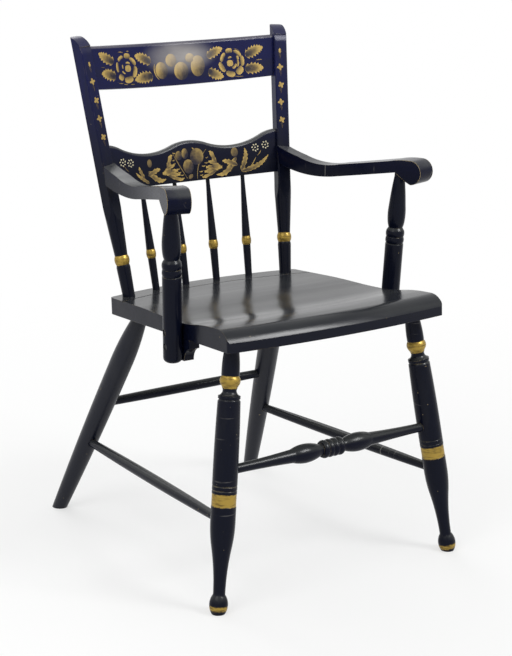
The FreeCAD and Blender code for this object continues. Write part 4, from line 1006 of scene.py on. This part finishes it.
class ARMCHAIR_OT_post_florets(bpy.types.Operator):
    """Stencils a row of florets down the face of each back post"""
    bl_idname = "armchair.post_florets"
    bl_label = "Post florets"

    # how far off the row and how high up the post each floret lies
    florets = ((-0.4, 360), (0.6, 329), (-0.6, 299), (0.4, 268))
    floret_radius = 5.6
    # how far each row is off the middle of its post
    shifts = {"left": 0.2, "right": -2.4}
    bud_base, bud_tip, bud_width = 384, 392.5, 4.6
    stems, lowest_stem, stem_spacing = 5, 253, 30.5

    def execute(self, context):
        settings = context.scene.armchair.stencil
        material = stencil_finish("post_gold", settings)
        for name, side in SIDES.items():
            film = Stencil(settings.film)
            shift = self.shifts[name]
            film.leaf((shift, self.bud_base), (shift, self.bud_tip), self.bud_width, 3, dark=0.2)
            for number, (across, height) in enumerate(self.florets):
                film.floret((across + shift, height), self.floret_radius, 8 + 20 * (number % 2))
            for number in range(self.stems):
                low = self.lowest_stem + number * self.stem_spacing
                film.stroke((shift, low), (shift + 2.4, low + 6), (shift, low + 10), 0.9, 0.32)
                film.stroke((shift, low + 3), (shift - 2.4, low + 8), (shift - 0.4, low + 12),
                            0.9, 0.28)
            film.finish(f"post_florets_{name}", post_spot(side), material)
        return {"FINISHED"}


class ARMCHAIR_OT_stage(bpy.types.Operator):
    """Sets the floor, the soft light and the camera"""
    bl_idname = "armchair.stage"
    bl_label = "Stage"

    # name, place, aim, width, height, share of the key lamp's power, only for gloss
    lamps = (
        ("key_lamp", (1.4, -2.4, 2.8), (0, 0, 0.7), 1.1, 0.9, 1.0, False),
        ("fill_lamp", (-2.2, -0.8, 2.4), (0, 0, 0.5), 1.6, 1.6, 0.6, False),
        ("back_lamp", (0.3, 2.4, 2.4), (0, 0, 0.6), 2.2, 1.4, 0.6, False),
        ("gloss_lamp", (1.5, -2.6, 3.1), (0, 0, 0.7), 1.8, 1.6, 3.6, True),
    )
    camera_place = (-1.65684, -2.416293, 1.1379)
    camera_turn = (1.3115944, -0.0037697, -0.6079004)
    sensor_width, clip_end = 36, 60
    floor_radius = 9
    # two distances on the floor and how far it has turned to pure white at each
    whitening = (0.3, 1.8, 0.55, 1.0)

    def execute(self, context):
        settings = context.scene.armchair.stage
        self.room(context, settings)
        self.floor(settings)
        for name, place, aim, width, height, share, only_gloss in self.lamps:
            lamp = bpy.data.lights.new(name, "AREA")
            lamp.shape, lamp.size, lamp.size_y = "RECTANGLE", width, height
            lamp.energy = settings.key_power * share
            holder = bpy.data.objects.new(name, lamp)
            turn = (Vector(aim) - Vector(place)).to_track_quat("-Z", "Y").to_matrix().to_4x4()
            holder.matrix_world = Matrix.Translation(place) @ turn
            holder.visible_diffuse = not only_gloss
            context.scene.collection.objects.link(holder)
        camera = bpy.data.cameras.new("camera")
        camera.lens, camera.sensor_width = settings.lens, self.sensor_width
        camera.clip_end = self.clip_end
        viewer = bpy.data.objects.new("camera", camera)
        viewer.location, viewer.rotation_euler = self.camera_place, self.camera_turn
        context.scene.collection.objects.link(viewer)
        context.scene.camera = viewer
        context.scene.view_settings.view_transform = "Standard"
        return {"FINISHED"}

    def room(self, context, settings):
        """A white room, dimmer where it lights the chair than where it shows."""
        world = bpy.data.worlds.new("room")
        context.scene.world = world
        world.use_nodes = True
        tree = world.node_tree
        path = tree.nodes.new("ShaderNodeLightPath")
        seen = self.seen(tree, path)
        level = tree.nodes.new("ShaderNodeMapRange")
        level.inputs["To Min"].default_value = settings.sky_level
        tree.links.new(seen, level.inputs["Value"])
        shown = tree.nodes["Background"]
        shown.inputs["Color"].default_value = WHITE
        tree.links.new(level.outputs[0], shown.inputs["Strength"])

    def seen(self, tree, path):
        """One for camera, glossy and transmission rays."""
        value = path.outputs["Is Camera Ray"]
        for name in ("Is Glossy Ray", "Is Transmission Ray"):
            larger = tree.nodes.new("ShaderNodeMath")
            larger.operation = "MAXIMUM"
            tree.links.new(value, larger.inputs[0])
            tree.links.new(path.outputs[name], larger.inputs[1])
            value = larger.outputs[0]
        return value

    def floor(self, settings):
        """A wide plain floor that runs out to white."""
        bm = bmesh.new()
        bmesh.ops.create_circle(bm, cap_ends=True, segments=96, radius=self.floor_radius)
        mesh = bpy.data.meshes.new("floor")
        bm.to_mesh(mesh)
        bm.free()
        floor = bpy.data.objects.new("floor", mesh)
        bpy.context.scene.collection.objects.link(floor)
        base = Finish("floor_paper")
        mottled = base.mix(base.noise(2.5, 2), settings.floor_colour, settings.floor_shade)
        base.feed(Base_Color=mottled, Roughness=0.75, Specular_IOR_Level=0.2)
        white = base.node("ShaderNodeEmission")
        path = base.node("ShaderNodeLightPath")
        far = base.math("MULTIPLY", self.seen(base.tree, path),
                        base.ease(base.length(base.place), *self.whitening))
        both = base.node("ShaderNodeMixShader")
        base.join(far, both.inputs[0])
        base.join(base.shader.outputs[0], both.inputs[1])
        base.join(white.outputs[0], both.inputs[2])
        base.join(both.outputs[0], base.output.inputs["Surface"])
        mesh.materials.append(base.material)


OPERATORS = (
    ARMCHAIR_OT_stage,
    ARMCHAIR_OT_seat,
    ARMCHAIR_OT_legs,
    ARMCHAIR_OT_stretchers,
    ARMCHAIR_OT_back_posts,
    ARMCHAIR_OT_rails,
    ARMCHAIR_OT_spindles,
    ARMCHAIR_OT_arms,
    ARMCHAIR_OT_arm_posts,
    ARMCHAIR_OT_screws,
    ARMCHAIR_OT_crest_stencil,
    ARMCHAIR_OT_splat_stencil,
    ARMCHAIR_OT_post_florets,
)


class ARMCHAIR_PT_panel(bpy.types.Panel):
    """Every step of the armchair in the sidebar"""
    bl_idname = "ARMCHAIR_PT_panel"
    bl_label = "Stencilled armchair"
    bl_space_type = "VIEW_3D"
    bl_region_type = "UI"
    bl_category = "Armchair"

    def draw(self, context):
        for group in ("paint", "screws", "stencil", "stage"):
            settings = getattr(context.scene.armchair, group)
            box = self.layout.box()
            for name in settings.bl_rna.properties.keys():
                if name not in ("rna_type", "name"):
                    box.prop(settings, name)
        for operator in OPERATORS:
            self.layout.operator(operator.bl_idname)


CLASSES = (PaintSettings, ScrewSettings, StencilSettings, StageSettings, ArmchairSettings,
           *OPERATORS, ARMCHAIR_PT_panel)


def register():
    for item in CLASSES:
        bpy.utils.register_class(item)
    bpy.types.Scene.armchair = PointerProperty(type=ArmchairSettings)


def unregister():
    del bpy.types.Scene.armchair
    for item in reversed(CLASSES):
        bpy.utils.unregister_class(item)


def main():
    """Runs every step in order."""
    register()
    for operator in OPERATORS:
        group, step = operator.bl_idname.split(".")
        getattr(getattr(bpy.ops, group), step)()


if __name__ == "__main__":
    main()
